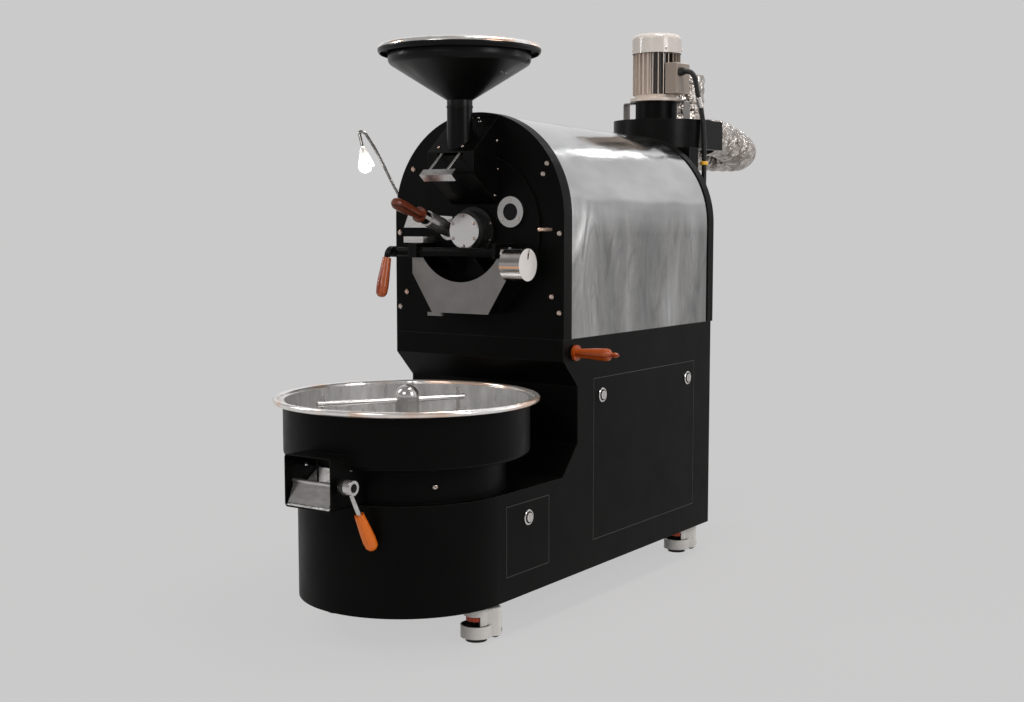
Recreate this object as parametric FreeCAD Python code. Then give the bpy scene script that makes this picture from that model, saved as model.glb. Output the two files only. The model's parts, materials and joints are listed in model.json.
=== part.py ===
import FreeCAD, Part
import math
import os

os.makedirs("parts", exist_ok=True)

# Electric coffee roaster for a shop, drum type with a cooling tray. Millimetres.
# X runs to the right, Y from the front plate's face to the back, Z up from the floor.
V = FreeCAD.Vector
X_AXIS = V(1, 0, 0)
Y_AXIS = V(0, 1, 0)
Z_AXIS = V(0, 0, 1)

# Whole machine
machine_width = 520.0
front_to_middle = 388.0
sheet = 2.0
gap = 0.3
fit = 0.05
overrun = 5.0

# Cabinet
base_bottom = 85.0
deck_top = 338.0
column_top = 676.0
cabinet_rear = 801.0
tray_to_front = 284.0
fold_top = column_top - 53.0
fold_low = fold_top - 66.0
fold_foot = deck_top + 75.5
fold_setback = 66.0
fold_toe = 3.0
floor_sheet = 3.0
top_flange = 25.0
deck_hole = 150.0
louvre_length = 120.0
louvre_height = 6.0
louvre_pitch = 18.0
louvre_low = 470.0
louvre_count = 7

# Access panels in the right wall
panel_ledge = 12.0
panel_play = 1.0
side_panel_front = 142.0
side_panel_rear = 698.0
side_panel_low = 156.0
side_panel_high = column_top - 106.0
side_latch_inset = 42.0
side_latch_drop = 46.0
base_panel_front = -247.0
base_panel_rear = -65.0
base_panel_low = 140.0
base_panel_high = deck_top - 31.0
base_latch_drop = 39.0
latch_radius = 18.5
latch_rim = 3.0
latch_core = 11.0
latch_core_proud = 2.0
latch_slot = 3.0
latch_slot_length = 14.0
latch_slot_depth = 1.5
latch_stem = 9.0
cam_reach = 50.0
cam_width = 16.0
cam_sheet = 3.0

# Barrel
plate_sheet = 3.0
rim_depth = 36.0
rear_arch_front = 781.0
rear_arch_rear = 813.0
shroud_sheet = 1.5
drum_height = column_top + 264.0
barrel_centre = drum_height + 35.0
rear_crown_drop = 17.0
drum_mouth = 160.0
face_disc_radius = 193.0
face_disc_proud = 8.0
face_disc_plug = 10.0
stop_pin_radius = 3.0
stop_pin_length = 55.0
stop_pin_x = 223.0
stop_pin_z = drum_height + 4.0

# Drum and what turns it
drum_radius = 165.0
drum_sheet = 3.0
drum_front = 12.0
drum_length = 480.0
drum_wall = 5.0
drum_vent = 17.0
drum_vent_ring = 110.0
drum_vent_count = 8
spider_front = 200.0
spider_depth = 8.0
spider_width = 24.0
spider_hub = 34.0
vane_height = 30.0
vane_sheet = 3.0
vane_count = 4
vane_lean = 22.0
shaft_radius = 15.0
shaft_front = -38.0
shaft_rear = 700.0
casing_inner = 185.0
casing_outer = 188.0
casing_wall = 6.0
casing_rear = 520.0
cradle_sheet = 6.0
cradle_front = 80.0
cradle_rear = 430.0
cradle_half_width = 150.0
heater_ring = 175.0
heater_radius = 4.0
heater_front = 34.0
heater_count = 5
heater_pitch_angle = 26.0
heater_low_angle = 270.0
flue_drop = 135.0
flue_radius = 45.0
flue_sheet = 1.5

# Front bearing and its cover
bearing_flange = 60.0
bearing_flange_depth = 8.0
bearing_body = 49.0
bearing_body_front = -44.0
bearing_ring_outer = 28.0
bearing_ring_width = 16.0
bearing_seat_depth = 22.0
cover_radius = 45.0
cover_front = -56.0
cover_chamfer = 2.0
shaft_clear = 3.0
rear_flange = 50.0
rear_flange_depth = 24.0

# Gearmotors
gearbox_half = 55.0
gearbox_depth = 80.0
gearbox_front = 610.0
gearmotor_radius = 50.0
gearmotor_length = 150.0
gear_bracket_half = 45.0
gear_bracket_sheet = 6.0
bridge_half = 45.0
bridge_sheet = 6.0
stirrer_gearbox_half = 45.0
stirrer_gearbox_height = 110.0
stirrer_motor_radius = 40.0
stirrer_motor_length = 90.0

# Sight glass
sight_x = 112.0
sight_z = drum_height + 47.0
sight_outer = 38.0
sight_window = 21.0
sight_depth = 7.0
glass_radius = 25.0
glass_depth = 4.0

# Feed box, hopper and feed gate
feed_half = 70.0
feed_front = -110.0
feed_foot = drum_height + 66.0
feed_waist = feed_foot + 71.0
feed_shoulder = feed_waist + 56.0
feed_top = feed_shoulder + 92.0
hopper_y = -70.0
pipe_radius = 31.5
pipe_wall = 1.5
pipe_top = feed_top + 20.0
pipe_bead = 1.5
pipe_bead_height = 4.0
cone_foot = pipe_top + 14.0
cone_top = cone_foot + 89.0
cone_radius = 175.5
cone_round = 18.0
curl_height = cone_top + 31.0
curl_radius = 13.0
curl_end_angle = -50.0
hopper_sheet = 1.5
gate_rod = 3.0
gate_rod_spread = 27.0
gate_blade_half = 36.0
gate_blade_sheet = 1.5
gate_reach = 62.0
gate_flap_half = 48.0
gate_flap_length = 22.0
gate_flap_fold = 24.0
gate_flap_fold_angle = 78.0

# Discharge chute, door and its lever
chute_top = drum_height - 67.0
chute_knee = chute_top - 40.0
chute_foot = chute_knee - 97.0
chute_half_top = 148.0
chute_half_foot = 86.0
apron_front = -74.0
apron_sheet = 1.5
apron_cut_centre = drum_height + 10.0
apron_cut_radius = 137.0
discharge_half = 62.0
discharge_high = chute_top - 7.0
discharge_low = discharge_high - 66.0
door_shaft_y = -71.0
door_shaft_z = drum_height - 53.0
door_shaft_radius = 12.0
door_shaft_left = -207.0
door_shaft_right = 196.0
door_margin = 8.0
door_sheet = 4.0
door_arm_x = 40.0
door_arm_sheet = 6.0
left_bracket_x = -150.0
left_bracket_width = 25.0
right_bracket_x = 108.0
right_bracket_width = 10.0
bracket_rise = 22.0
bracket_lip = 17.0
weight_radius = 39.0
weight_left = 150.0
weight_right = 208.0
weight_y = -80.0
weight_z = door_shaft_z - 27.0
weight_slot = 4.0
weight_slot_depth = 2.0
weight_slot_foot = 12.0
hub_radius = 13.6
hub_left = 130.0
lever_boss = 14.0
lever_boss_left = -222.0
lever_strap_outer = 28.0
lever_strap_sheet = 4.0
lever_strap_y = -73.0
lever_strap_z = door_shaft_z - 14.0
lever_strap_half = 8.0
lever_grip_x = -210.0
lever_grip_top_y = -98.0
lever_grip_top_z = door_shaft_z - 9.0
lever_grip_foot_y = -125.0
lever_grip_foot_z = lever_grip_top_z - 105.0
lever_grip_start = 7.0
puck_x = -81.0
puck_y = -60.0
puck_radius = 24.0
puck_height = 9.0

# Bean tryer
tryer_x = -80.0
tryer_start_y = -8.0
tryer_start_z = drum_height + 3.4
tryer_tilt = 16.7
tryer_tube = 20.0
tryer_bore = 14.0
tryer_tube_length = 96.0
tryer_flange = 27.0
tryer_flange_depth = 5.0
ferrule_radius = 17.0
ferrule_length = 28.0
collar_inset = 60.0
collar_core = 11.0
scoop_length = 140.0
scoop_sheet = 1.5
scoop_plug = 6.0
tryer_grip_length = 108.0
plate_left = -223.0
plate_right = -66.0
plate_low = drum_height + 8.0
plate_high = plate_low + 36.0
plate_lean = 16.0
plate_back = 12.0
plate_front_gap = 1.5
rest_left = -187.0
rest_right = -124.0
rest_front = -60.0
rest_low = drum_height - 30.0
rest_high = rest_low + 15.5

# Wooden grips
grip_radius = 15.5
grip_neck = 11.0
grip_collar = 19.5
grip_collar_width = 7.0
grip_bore = 5.0

# Damper rod on the right wall
damper_y = 47.0
damper_z = column_top - 34.0
damper_rod_radius = 5.0
damper_rod_left = 150.0
damper_tip = 386.0
damper_grip_right = 360.0
damper_bush = 17.0
damper_bush_depth = 3.0
damper_cap = 13.0
damper_cap_depth = 8.0
damper_tip_radius = 6.5
damper_tip_length = 14.0

# Cooling tray
tray_wall_radius = 292.0
tray_bottom = deck_top + 81.0
tray_wall_top = tray_bottom + 122.0
tray_corner = 12.0
collar_radius = 235.0
rim_outer = 315.5
rim_tube = 7.0
rim_height = tray_wall_top + 7.0
liner_sheet = 1.2
screen_sheet = 1.5
screen_slot_length = 34.0
screen_slot_width = 5.0
screen_ring_count = 4
screen_first_ring = 96.0
screen_ring_pitch = 46.0
screen_first_count = 10
screen_step_count = 6
trap_half = 55.0
trap_front_radius = 286.0
trap_back = 240.0

# Tray chute and its gate
tray_chute_half = 67.0
tray_chute_front = 633.0
tray_chute_top = tray_bottom + 36.0
tray_chute_corner = 8.0
gate_shaft_y = -608.0
gate_shaft_z = tray_bottom - 26.0
gate_shaft_radius = 4.0
gate_knuckle = 5.0
gate_plate_half = 60.0
gate_plate_sheet = 1.5
gate_lip_rise = 9.5
chute_floor_rise = 3.5
chute_floor_half = 62.0
gate_bush_radius = 11.0
gate_bush_width = 12.0
gate_hub_radius = 16.5
gate_hub_width = 32.0
gate_socket = 10.0
gate_socket_depth = 4.0
gate_lever_radius = 5.0
gate_lever_x = 95.0
gate_grip_x = 103.0
gate_grip_y = -585.0
gate_grip_z = gate_shaft_z - 58.0
gate_grip_end_x = 105.0
gate_grip_end_y = -539.0
gate_grip_end_z = gate_grip_z - 89.0
gate_grip_start = 7.0
hanger_radius = 2.5

# Stirrer
stirrer_shaft = 10.0
stirrer_shaft_foot = 250.0
stirrer_hub = 28.5
arm_height = rim_height - 5.0
stirrer_top = arm_height + 36.0
arm_radius = 7.0
arm_angle = 60.0
arm_long = 222.0
arm_short = 145.0
arm_pin = 4.0
arm_pin_inset = 14.0
arm_pin_rise = 22.0
paddle_low_gap = 2.0
paddle_height = 60.0
paddle_sheet = 2.0
paddle_skew = 25.0
paddle_long_length = 120.0
paddle_short_length = 110.0
column_foot = 40.0
column_tube = 24.0
column_clear = 2.0
column_bush = 30.0

# Cooling fan inside the base
fan_y = 380.0
fan_z = base_bottom + 245.0
fan_radius = 120.0
fan_depth = 90.0
fan_motor_radius = 60.0
fan_motor_length = 130.0
fan_outlet_radius = 50.0
fan_outlet_reach = 26.0
fan_foot_sheet = 6.0
fan_sheet = 2.0

# Exhaust blower on top at the back
blower_y = 940.0
blower_low = drum_height + 242.0
blower_high = blower_low + 86.0
volute_small = 130.0
volute_middle = 126.0
volute_large = 157.0
outlet_left = 40.0
outlet_rear = 145.0
spigot_x = 95.0
spigot_radius = 42.0
spigot_length = 22.0
inlet_radius = 50.0
impeller_radius = 100.0
impeller_back = blower_high - 16.0
impeller_blade = 40.0
impeller_hub = 18.0
blade_count = 9
blower_shaft = 9.5
shaft_hole = 14.0
post_width = 58.0
post_front = 27.0
post_left = 107.0
post_wall = 3.0
post_foot = blower_low - 172.0
post_arm = 50.0
post_small_left = -118.0
plenum_half = 56.0
plenum_low = post_foot + 5.0
plenum_rear = blower_y + 72.0
stand_hub = 63.0
stand_sheet = 3.0
stand_reach = 105.0
stand_depth = 36.0
stand_round = 6.0
stand_slot = 24.0
stand_slot_inset = 9.0

# Blower motor
motor_foot = blower_high + 58.0
motor_flange = 80.0
motor_flange_height = 9.0
shield_top = motor_foot + 20.0
shield_radius = 64.0
body_top = shield_top + 131.0
body_radius = 62.0
fin_height = 10.0
fin_sheet = 2.5
fin_count = 28
cowl_radius = 74.5
cowl_overlap = 8.0
cowl_top = body_top + 49.5
cowl_round = 16.0
cowl_sheet = 1.5
box_right = 97.0
box_half = 42.0
box_middle = blower_y - 11.0
box_low = shield_top + 1.0
box_high = box_low + 90.0
gland_y = box_middle - 25.0
gland_z = box_high - 28.0
gland_radius = 13.0
gland_length = 16.0
gland_nut = 10.0
lower_gland_x = 150.0
lower_gland_z = column_top - 76.0
lower_gland_length = 19.0

# Foil duct from the blower
duct_radius = 57.0
duct_rib = 3.5
duct_rib_pitch = 30.0
duct_wall = 1.5
duct_collar = 14.0
duct_bend = 66.0
duct_route = [(x, blower_y + back, blower_low + up) for x, back, up in (
    (95, 145.3, 43), (95, 235, 43), (110, 315, 17), (104, 378, 5), (60, 415, 2), (2, 412, 3),
    (-37, 370, 5), (-38, 314, 8), (-37, 276, 47), (-35, 268, 104), (-34, 267, 178), (-33, 267, 248))]

# Motor cable
cable_radius = 7.75
cable_route = [(x, gland_y + back, gland_z + up) for x, back, up in (
    (113.3, 0, 0), (127, 0, 0), (140, 0.5, -7), (148, 3, -23), (150.5, 9, -56), (153, 20, -88),
    (156, 31, -118), (161.5, 36, -170), (166, 32, -243))]
cable_route += [(x, cabinet_rear + back, lower_gland_z + up) for x, back, up in (
    (167.5, 131, 460), (166, 128, 350), (163, 125, 250), (159, 124, 165), (155, 123, 105),
    (153, 120, 64), (151, 98.5, 22), (150, 59, 0), (150, 19.3, 0))]

# Work lamp on its gooseneck
lamp_neck_radius = 4.2
lamp_base_y = 72.0
lamp_base_low = 940.0
lamp_base_high = 975.0
lamp_base_half = 13.0
lamp_base_reach = 24.0
lamp_route = [(-272, 72, 975.3), (-272, 72, 990), (-283, 60, 1010), (-310, 40, 1074),
              (-340, 22, 1147), (-368, 5, 1199), (-381, -4, 1202), (-367, -6, 1160)]
lamp_tilt_x = 14.0
lamp_gap = 1.0
lamp_length = 52.0
lamp_top = 7.0
lamp_mouth = 22.0
lamp_lens = 3.0

# Button bolts
bolt_head = 6.8
bolt_height = 4.0
small_bolt = 4.0
small_bolt_height = 2.5
rim_bolt_low_drop = 233.0
rim_bolt_high_drop = 40.0
rim_bolt_angle = 31.5
inner_bolt_inset = 22.0
inner_bolt_drop = 194.0
inner_bolt_angle = 27.5

# Levelling casters
caster_front_x = 212.0
caster_front_y = -300.0
caster_rear_x = 190.0
caster_rear_y = 738.0
caster_turn = 55.0
caster_wall = 4.0
caster_ring = 37.0
caster_ring_low = 10.0
caster_ring_high = 38.0
caster_neck = 29.0
caster_top = 76.0
caster_top_round = 4.0
caster_tail = 60.0
caster_tail_half = 20.0
caster_tail_round = 16.0
caster_window_top = 60.0
caster_room_top = 67.0
caster_window_half = 14.0
caster_plate = 26.0
wheel_offset = 43.5
wheel_radius = 17.0
wheel_width = 22.0
wheel_rise = 3.5
axle_radius = 4.0
wheel_room = 2.5
pad_radius = 25.0
pad_height = 8.0
foot_stem = 6.0
foot_stem_top = 70.0
thumb_radius = 24.0
thumb_low = 48.0
thumb_height = 10.0
notch_count = 16
thumb_notch = 2.0
thumb_travel = 9.0

half_width = machine_width / 2
tray_y = -tray_to_front


# Small tools that every sub-part uses
def block(x0, x1, y0, y1, z0, z1):
    return Part.makeBox(x1 - x0, y1 - y0, z1 - z0, V(x0, y0, z0))


def rod(radius, start, end):
    start, end = V(*start), V(*end)
    return Part.makeCylinder(radius, (end - start).Length, start, end - start)


def pipe(outer, inner, start, end):
    start, end = V(*start), V(*end)
    reach = (end - start).normalize() * overrun
    bore = rod(inner, start - reach, end + reach)
    return rod(outer, start, end).cut(bore)


def face_of(points):
    return Part.Face(Part.makePolygon([V(*p) for p in points + points[:1]]))


def prism_x(outline, x0, x1):
    return face_of([(x0, y, z) for y, z in outline]).extrude(X_AXIS * (x1 - x0))


def prism_y(outline, y0, y1):
    return face_of([(x, y0, z) for x, z in outline]).extrude(Y_AXIS * (y1 - y0))


def turned(profile, x=0.0, y=0.0):
    face = face_of([(x + r, y, z) for r, z in profile])
    return face.revolve(V(x, y, 0), Z_AXIS, 360)


def turned_along(profile, start, end):
    # The profile holds pairs of distance along the axis and radius.
    start, end = V(*start), V(*end)
    face = face_of([(radius, 0, along) for along, radius in profile])
    solid = face.revolve(V(0, 0, 0), Z_AXIS, 360)
    solid.Placement = FreeCAD.Placement(start, FreeCAD.Rotation(Z_AXIS, end - start))
    return solid


def fused(shapes):
    return shapes[0].multiFuse(shapes[1:]).removeSplitter()


def turned_copy(shape, angle, centre, axis):
    copy = shape.copy()
    copy.rotate(centre, axis, angle)
    return copy


def mirrored(shape):
    return shape.mirror(V(0, 0, 0), X_AXIS)


def save(name, shapes):
    solids = [solid for shape in shapes for solid in shape.Solids]
    whole = solids[0] if len(solids) == 1 else Part.makeCompound(solids)
    whole = whole.copy()
    whole.translate(V(0, -front_to_middle, 0))
    whole.exportStep("parts/" + name + ".step")


def offset_line(points, distance):
    # The same open line moved sideways, with mitred corners.
    moved = []
    for i, (a, b) in enumerate(points):
        sides = []
        for j in (i - 1, i):
            if 0 <= j < len(points) - 1:
                du = points[j + 1][0] - points[j][0]
                dv = points[j + 1][1] - points[j][1]
                size = math.hypot(du, dv)
                sides.append((-dv / size, du / size))
        nu = sum(s[0] for s in sides) / len(sides)
        nv = sum(s[1] for s in sides) / len(sides)
        scale = distance / (nu * nu + nv * nv)
        moved.append((a + nu * scale, b + nv * scale))
    return moved


def folded(points, thickness):
    return points + offset_line(points, thickness)[::-1]


# Wooden grip turned on a lathe, from its neck to a rounded end
def grip(start, end, bore_depth, collar):
    start, end = V(*start), V(*end)
    length = (end - start).Length
    if collar:
        neck = [(0, grip_collar), (grip_collar_width, grip_collar), (grip_collar_width, grip_neck)]
    else:
        neck = [(0, grip_neck)]
    swell_shares = [(0.30, 0.84), (0.52, 0.95), (0.74, 1.0), (0.90, 0.92), (0.97, 0.68)]
    swell = [(length * along, grip_radius * width) for along, width in swell_shares]
    profile = [(0, 0)] + neck + swell + [(length, grip_radius / 3), (length, 0)]
    solid = turned_along(profile, tuple(start), tuple(end))
    reach = (end - start).normalize()
    hole = rod(grip_bore, tuple(start - reach * overrun), tuple(start + reach * bore_depth))
    return solid.cut(hole)


# Cabinet
def cabinet_plan(inset, low, high, rear):
    reach = half_width - inset
    nose = Part.makeCylinder(reach, high - low, V(0, tray_y, low))
    return nose.fuse(block(-reach, reach, tray_y, rear, low, high)).removeSplitter()


front_line = [(0, column_top), (0, fold_top), (fold_setback, fold_low), (fold_setback, fold_foot),
              (-fold_toe, deck_top)]


def panel_window(shape, front, rear, low, high):
    inside = half_width - sheet
    ledge = block(inside - sheet, inside, front - panel_ledge, rear + panel_ledge,
                  low - panel_ledge, high + panel_ledge)
    ledge = ledge.cut(block(inside - sheet - overrun, inside + overrun, front + panel_ledge,
                            rear - panel_ledge, low + panel_ledge, high - panel_ledge))
    opening = block(inside - gap, half_width + overrun, front - panel_play, rear + panel_play,
                    low - panel_play, high + panel_play)
    return shape.fuse(ledge).cut(opening.cut(block(inside - overrun, inside, front - overrun,
                                                   rear + overrun, low - overrun,
                                                   high + overrun)))


def cabinet_wrap():
    side = front_line + [(cabinet_rear, deck_top), (cabinet_rear, column_top)]
    outer = cabinet_plan(0, base_bottom, deck_top, cabinet_rear)
    outer = outer.fuse(prism_x(side, -half_width, half_width))
    inner = cabinet_plan(sheet, base_bottom - overrun, column_top + overrun,
                         cabinet_rear + overrun)
    wrap = outer.cut(inner)
    flange = block(half_width - top_flange, half_width - sheet, sheet, cabinet_rear - sheet,
                   column_top - sheet, column_top)
    wrap = fused([wrap, flange, mirrored(flange)])
    wrap = panel_window(wrap, side_panel_front, side_panel_rear, side_panel_low, side_panel_high)
    wrap = panel_window(wrap, base_panel_front, base_panel_rear, base_panel_low, base_panel_high)
    bush = rod(damper_bush, (half_width, damper_y, damper_z),
               (half_width + damper_bush_depth, damper_y, damper_z))
    wrap = wrap.fuse(bush)
    wrap = wrap.cut(rod(damper_rod_radius + fit, (half_width - overrun, damper_y, damper_z),
                        (half_width + overrun, damper_y, damper_z)))
    save("cabinet_wrap", [wrap.removeSplitter()])


def floor_and_back():
    floor = cabinet_plan(sheet, base_bottom, base_bottom + floor_sheet, cabinet_rear - sheet)
    inside = half_width - sheet
    back = block(-inside, inside, cabinet_rear - sheet, cabinet_rear, base_bottom, column_top)
    slots = []
    for i in range(louvre_count):
        low = louvre_low + i * louvre_pitch
        slots.append(block(-louvre_length / 2, louvre_length / 2, cabinet_rear - sheet - overrun,
                           cabinet_rear + overrun, low, low + louvre_height))
    outlet = rod(fan_outlet_radius - sheet + fit, (0, cabinet_rear - sheet - overrun, fan_z),
                 (0, cabinet_rear + overrun, fan_z))
    back = back.cut(Part.makeCompound(slots)).cut(outlet)
    nut = rod(gland_radius, (lower_gland_x, cabinet_rear, lower_gland_z),
              (lower_gland_x, cabinet_rear + gland_nut, lower_gland_z))
    cap = rod(gland_radius - sheet, (lower_gland_x, cabinet_rear, lower_gland_z),
              (lower_gland_x, cabinet_rear + lower_gland_length, lower_gland_z))
    save("floor_and_back", [floor, back, fused([nut, cap])])


def tray_deck():
    deck_line = front_line + [(tray_y - half_width, deck_top)]
    deck = prism_x(folded(deck_line, sheet), -half_width + sheet, half_width - sheet)
    deck = deck.common(cabinet_plan(sheet, base_bottom, column_top + overrun, cabinet_rear))
    hole = Part.makeCylinder(deck_hole, sheet + 2 * overrun, V(0, tray_y, deck_top - sheet - overrun))
    bridge_reach = deck_hole + 2 * bridge_half
    bridge = block(-bridge_reach, bridge_reach, tray_y - bridge_half, tray_y + bridge_half,
                   deck_top - sheet - bridge_sheet, deck_top - sheet)
    bridge = bridge.cut(Part.makeCylinder(stirrer_shaft + column_clear, bridge_sheet + 2 * overrun,
                                          V(0, tray_y, deck_top - sheet - bridge_sheet - overrun)))
    save("tray_deck", [deck.cut(hole), bridge])


# Lift-off panels and their quarter-turn latches
def latch_hole(y, z):
    return rod(latch_stem + fit, (half_width - 2 * sheet, y, z), (half_width + overrun, y, z))


side_latch_z = side_panel_high - side_latch_drop
side_latch_front = side_panel_front + side_latch_inset
side_latch_rear = side_panel_rear - side_latch_inset
base_latch_z = base_panel_high - base_latch_drop
base_latch_y = (base_panel_front + base_panel_rear) / 2


def panels():
    back = half_width - sheet + gap
    side = block(back, half_width, side_panel_front, side_panel_rear, side_panel_low,
                 side_panel_high)
    for y in (side_latch_front, side_latch_rear):
        side = side.cut(latch_hole(y, side_latch_z))
    save("side_panel", [side])
    base = block(back, half_width, base_panel_front, base_panel_rear, base_panel_low,
                 base_panel_high)
    save("base_panel", [base.cut(latch_hole(base_latch_y, base_latch_z))])


def latch(name, y, z, cam_angle):
    face = half_width + gap
    rim = rod(latch_radius, (face, y, z), (face + latch_rim, y, z))
    rim = rim.makeChamfer(latch_rim / 3, rim.Edges[:1])
    core = rod(latch_core, (face, y, z), (face + latch_rim + latch_core_proud, y, z))
    slot = block(face + latch_rim + latch_core_proud - latch_slot_depth,
                 face + latch_rim + latch_core_proud + overrun,
                 y - latch_slot / 2, y + latch_slot / 2,
                 z - latch_slot_length / 2, z + latch_slot_length / 2)
    cam_face = half_width - 2 * sheet - gap
    stem = rod(latch_stem, (cam_face - cam_sheet, y, z), (face, y, z))
    cam = block(cam_face - cam_sheet, cam_face, y - cam_width / 2, y + cam_width / 2,
                z - cam_reach, z + cam_width / 2)
    cam = turned_copy(cam, cam_angle, V(0, y, z), X_AXIS)
    save(name, [fused([rim, core.cut(slot), stem, cam])])


# Barrel
def arch_wire(inset, y, low, drop):
    reach = half_width - inset
    centre = barrel_centre - drop
    corners = [V(reach, y, centre), V(reach, y, low), V(-reach, y, low), V(-reach, y, centre)]
    edges = [Part.LineSegment(corners[i], corners[i + 1]).toShape() for i in range(3)]
    edges.append(Part.Arc(corners[3], V(0, y, centre + reach), corners[0]).toShape())
    return Part.Wire(edges)


def arch(inset, y0, y1, low, drop=0.0):
    return Part.Face(arch_wire(inset, y0, low, drop)).extrude(Y_AXIS * (y1 - y0))


def barrel_body(inset, y0, y1, low):
    # The crown falls from the front plate to the rear arch and runs level inside it.
    along = arch_wire(inset, y0, low, 0), arch_wire(inset, rear_arch_front, low, rear_crown_drop)
    front = Part.makeLoft(list(along), True, True)
    return front.fuse(arch(inset, rear_arch_front, y1, low, rear_crown_drop))


def tryer_line(along):
    tilt = math.radians(tryer_tilt)
    return (tryer_x, tryer_start_y - along * math.cos(tilt),
            tryer_start_z + along * math.sin(tilt))


def front_plates():
    plate = arch(0, 0, rim_depth, column_top)
    plate = plate.cut(arch(plate_sheet, plate_sheet, rim_depth + overrun, column_top - overrun))
    mouth = rod(drum_mouth, (0, -overrun, drum_height), (0, plate_sheet + overrun, drum_height))
    pin = rod(stop_pin_radius, (stop_pin_x, -stop_pin_length, stop_pin_z),
              (stop_pin_x, 0, stop_pin_z))
    save("front_arch", [fused([plate.cut(mouth), pin])])

    disc = rod(face_disc_radius, (0, -face_disc_proud, drum_height), (0, 0, drum_height))
    plug = rod(drum_mouth, (0, 0, drum_height), (0, face_disc_plug, drum_height))
    disc = disc.fuse(plug)
    back, front = face_disc_plug + overrun, -face_disc_proud - overrun
    disc = disc.cut(rod(shaft_radius + shaft_clear, (0, front, drum_height),
                        (0, back, drum_height)))
    disc = disc.cut(rod(sight_window, (sight_x, front, sight_z), (sight_x, back, sight_z)))
    disc = disc.cut(block(-discharge_half, discharge_half, front, back, discharge_low,
                          discharge_high))
    disc = disc.cut(block(-feed_half + 2 * sheet, feed_half - 2 * sheet, front, back,
                          feed_foot + 2 * sheet, feed_waist))
    disc = disc.cut(rod(tryer_bore + gap, tryer_line(-2 * tryer_bore), tryer_line(tryer_bore)))
    save("face_plate", [disc.removeSplitter()])


def shroud_and_rear():
    shroud = barrel_body(plate_sheet, plate_sheet, rear_arch_rear - plate_sheet, column_top)
    inside = barrel_body(plate_sheet + shroud_sheet, plate_sheet, rear_arch_rear - plate_sheet,
                         column_top - overrun)
    save("shroud", [shroud.cut(inside).removeSplitter()])

    rear = arch(0, rear_arch_front, rear_arch_rear, column_top, rear_crown_drop)
    rear = rear.cut(arch(plate_sheet, rear_arch_front - overrun, rear_arch_rear - plate_sheet,
                         column_top - overrun, rear_crown_drop))
    flue = rod(flue_radius + fit, (0, rear_arch_front, drum_height + flue_drop),
               (0, rear_arch_rear + overrun, drum_height + flue_drop))
    save("rear_arch", [rear.cut(flue)])


# Drum, casing and heaters
drum_rear = drum_front + drum_length


def drum():
    axis_front, axis_rear = (0, drum_front, drum_height), (0, drum_rear, drum_height)
    shell = pipe(drum_radius, drum_radius - drum_sheet, axis_front, axis_rear)
    wall = rod(drum_radius - drum_sheet, (0, drum_rear - drum_wall, drum_height), axis_rear)
    vents = []
    for i in range(drum_vent_count):
        hole = rod(drum_vent, (drum_vent_ring, drum_rear - drum_wall - overrun, drum_height),
                   (drum_vent_ring, drum_rear + overrun, drum_height))
        vents.append(turned_copy(hole, 360 / drum_vent_count * (i + 0.5), V(0, 0, drum_height),
                                 Y_AXIS))
    wall = wall.cut(Part.makeCompound(vents))
    hub = rod(spider_hub, (0, spider_front - spider_depth, drum_height),
              (0, spider_front + 2 * spider_depth, drum_height))
    parts = [shell, wall, hub]
    for i in range(3):
        arm = block(0, drum_radius - drum_sheet / 2, spider_front, spider_front + spider_depth,
                    drum_height - spider_width / 2, drum_height + spider_width / 2)
        parts.append(turned_copy(arm, 120 * i + 90, V(0, 0, drum_height), Y_AXIS))
    inner = drum_radius - drum_sheet / 2
    for i in range(vane_count):
        vane = block(-vane_sheet / 2, vane_sheet / 2, drum_front + vane_height,
                     drum_rear - drum_wall, inner - vane_height, inner)
        vane = turned_copy(vane, vane_lean, V(0, 0, inner), Y_AXIS)
        vane.translate(V(0, 0, drum_height))
        parts.append(turned_copy(vane, 360 / vane_count * (i + 0.5), V(0, 0, drum_height), Y_AXIS))
    whole = fused(parts).common(rod(drum_radius, axis_front, axis_rear))
    whole = whole.cut(rod(shaft_radius, (0, 0, drum_height), (0, shaft_rear, drum_height)))
    shaft = rod(shaft_radius, (0, shaft_front, drum_height), (0, shaft_rear, drum_height))
    save("drum", [whole, shaft])


def casing():
    inner_rear = casing_rear - casing_wall
    shell = pipe(casing_outer, casing_inner, (0, plate_sheet, drum_height),
                 (0, casing_rear, drum_height))
    wall = rod(casing_inner, (0, inner_rear, drum_height), (0, casing_rear, drum_height))
    shell = fused([shell, wall])
    shell = shell.cut(rod(shaft_radius + shaft_clear, (0, inner_rear - overrun, drum_height),
                          (0, casing_rear + overrun, drum_height)))
    flue_z = drum_height + flue_drop
    shell = shell.cut(rod(flue_radius - flue_sheet, (0, inner_rear - overrun, flue_z),
                          (0, casing_rear + overrun, flue_z)))
    flue = pipe(flue_radius, flue_radius - flue_sheet, (0, casing_rear, flue_z),
                (0, rear_arch_rear, flue_z))
    cradles = []
    for y in (cradle_front, cradle_rear):
        cradle = block(-cradle_half_width, cradle_half_width, y, y + cradle_sheet,
                       column_top, drum_height - casing_outer / 2)
        cradle = cradle.cut(rod(casing_outer, (0, y - overrun, drum_height),
                                (0, y + cradle_sheet + overrun, drum_height)))
        cradles.append(cradle)
        beam = block(-half_width + sheet, half_width - sheet, y, y + cradle_sheet,
                     column_top - sheet - top_flange, column_top - sheet)
        riser = block(-cradle_half_width, cradle_half_width, y, y + cradle_sheet,
                      column_top - sheet, column_top)
        cradles[-1] = fused([cradle, beam, riser])
    save("drum_casing", [fused([shell, flue])] + cradles)


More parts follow.
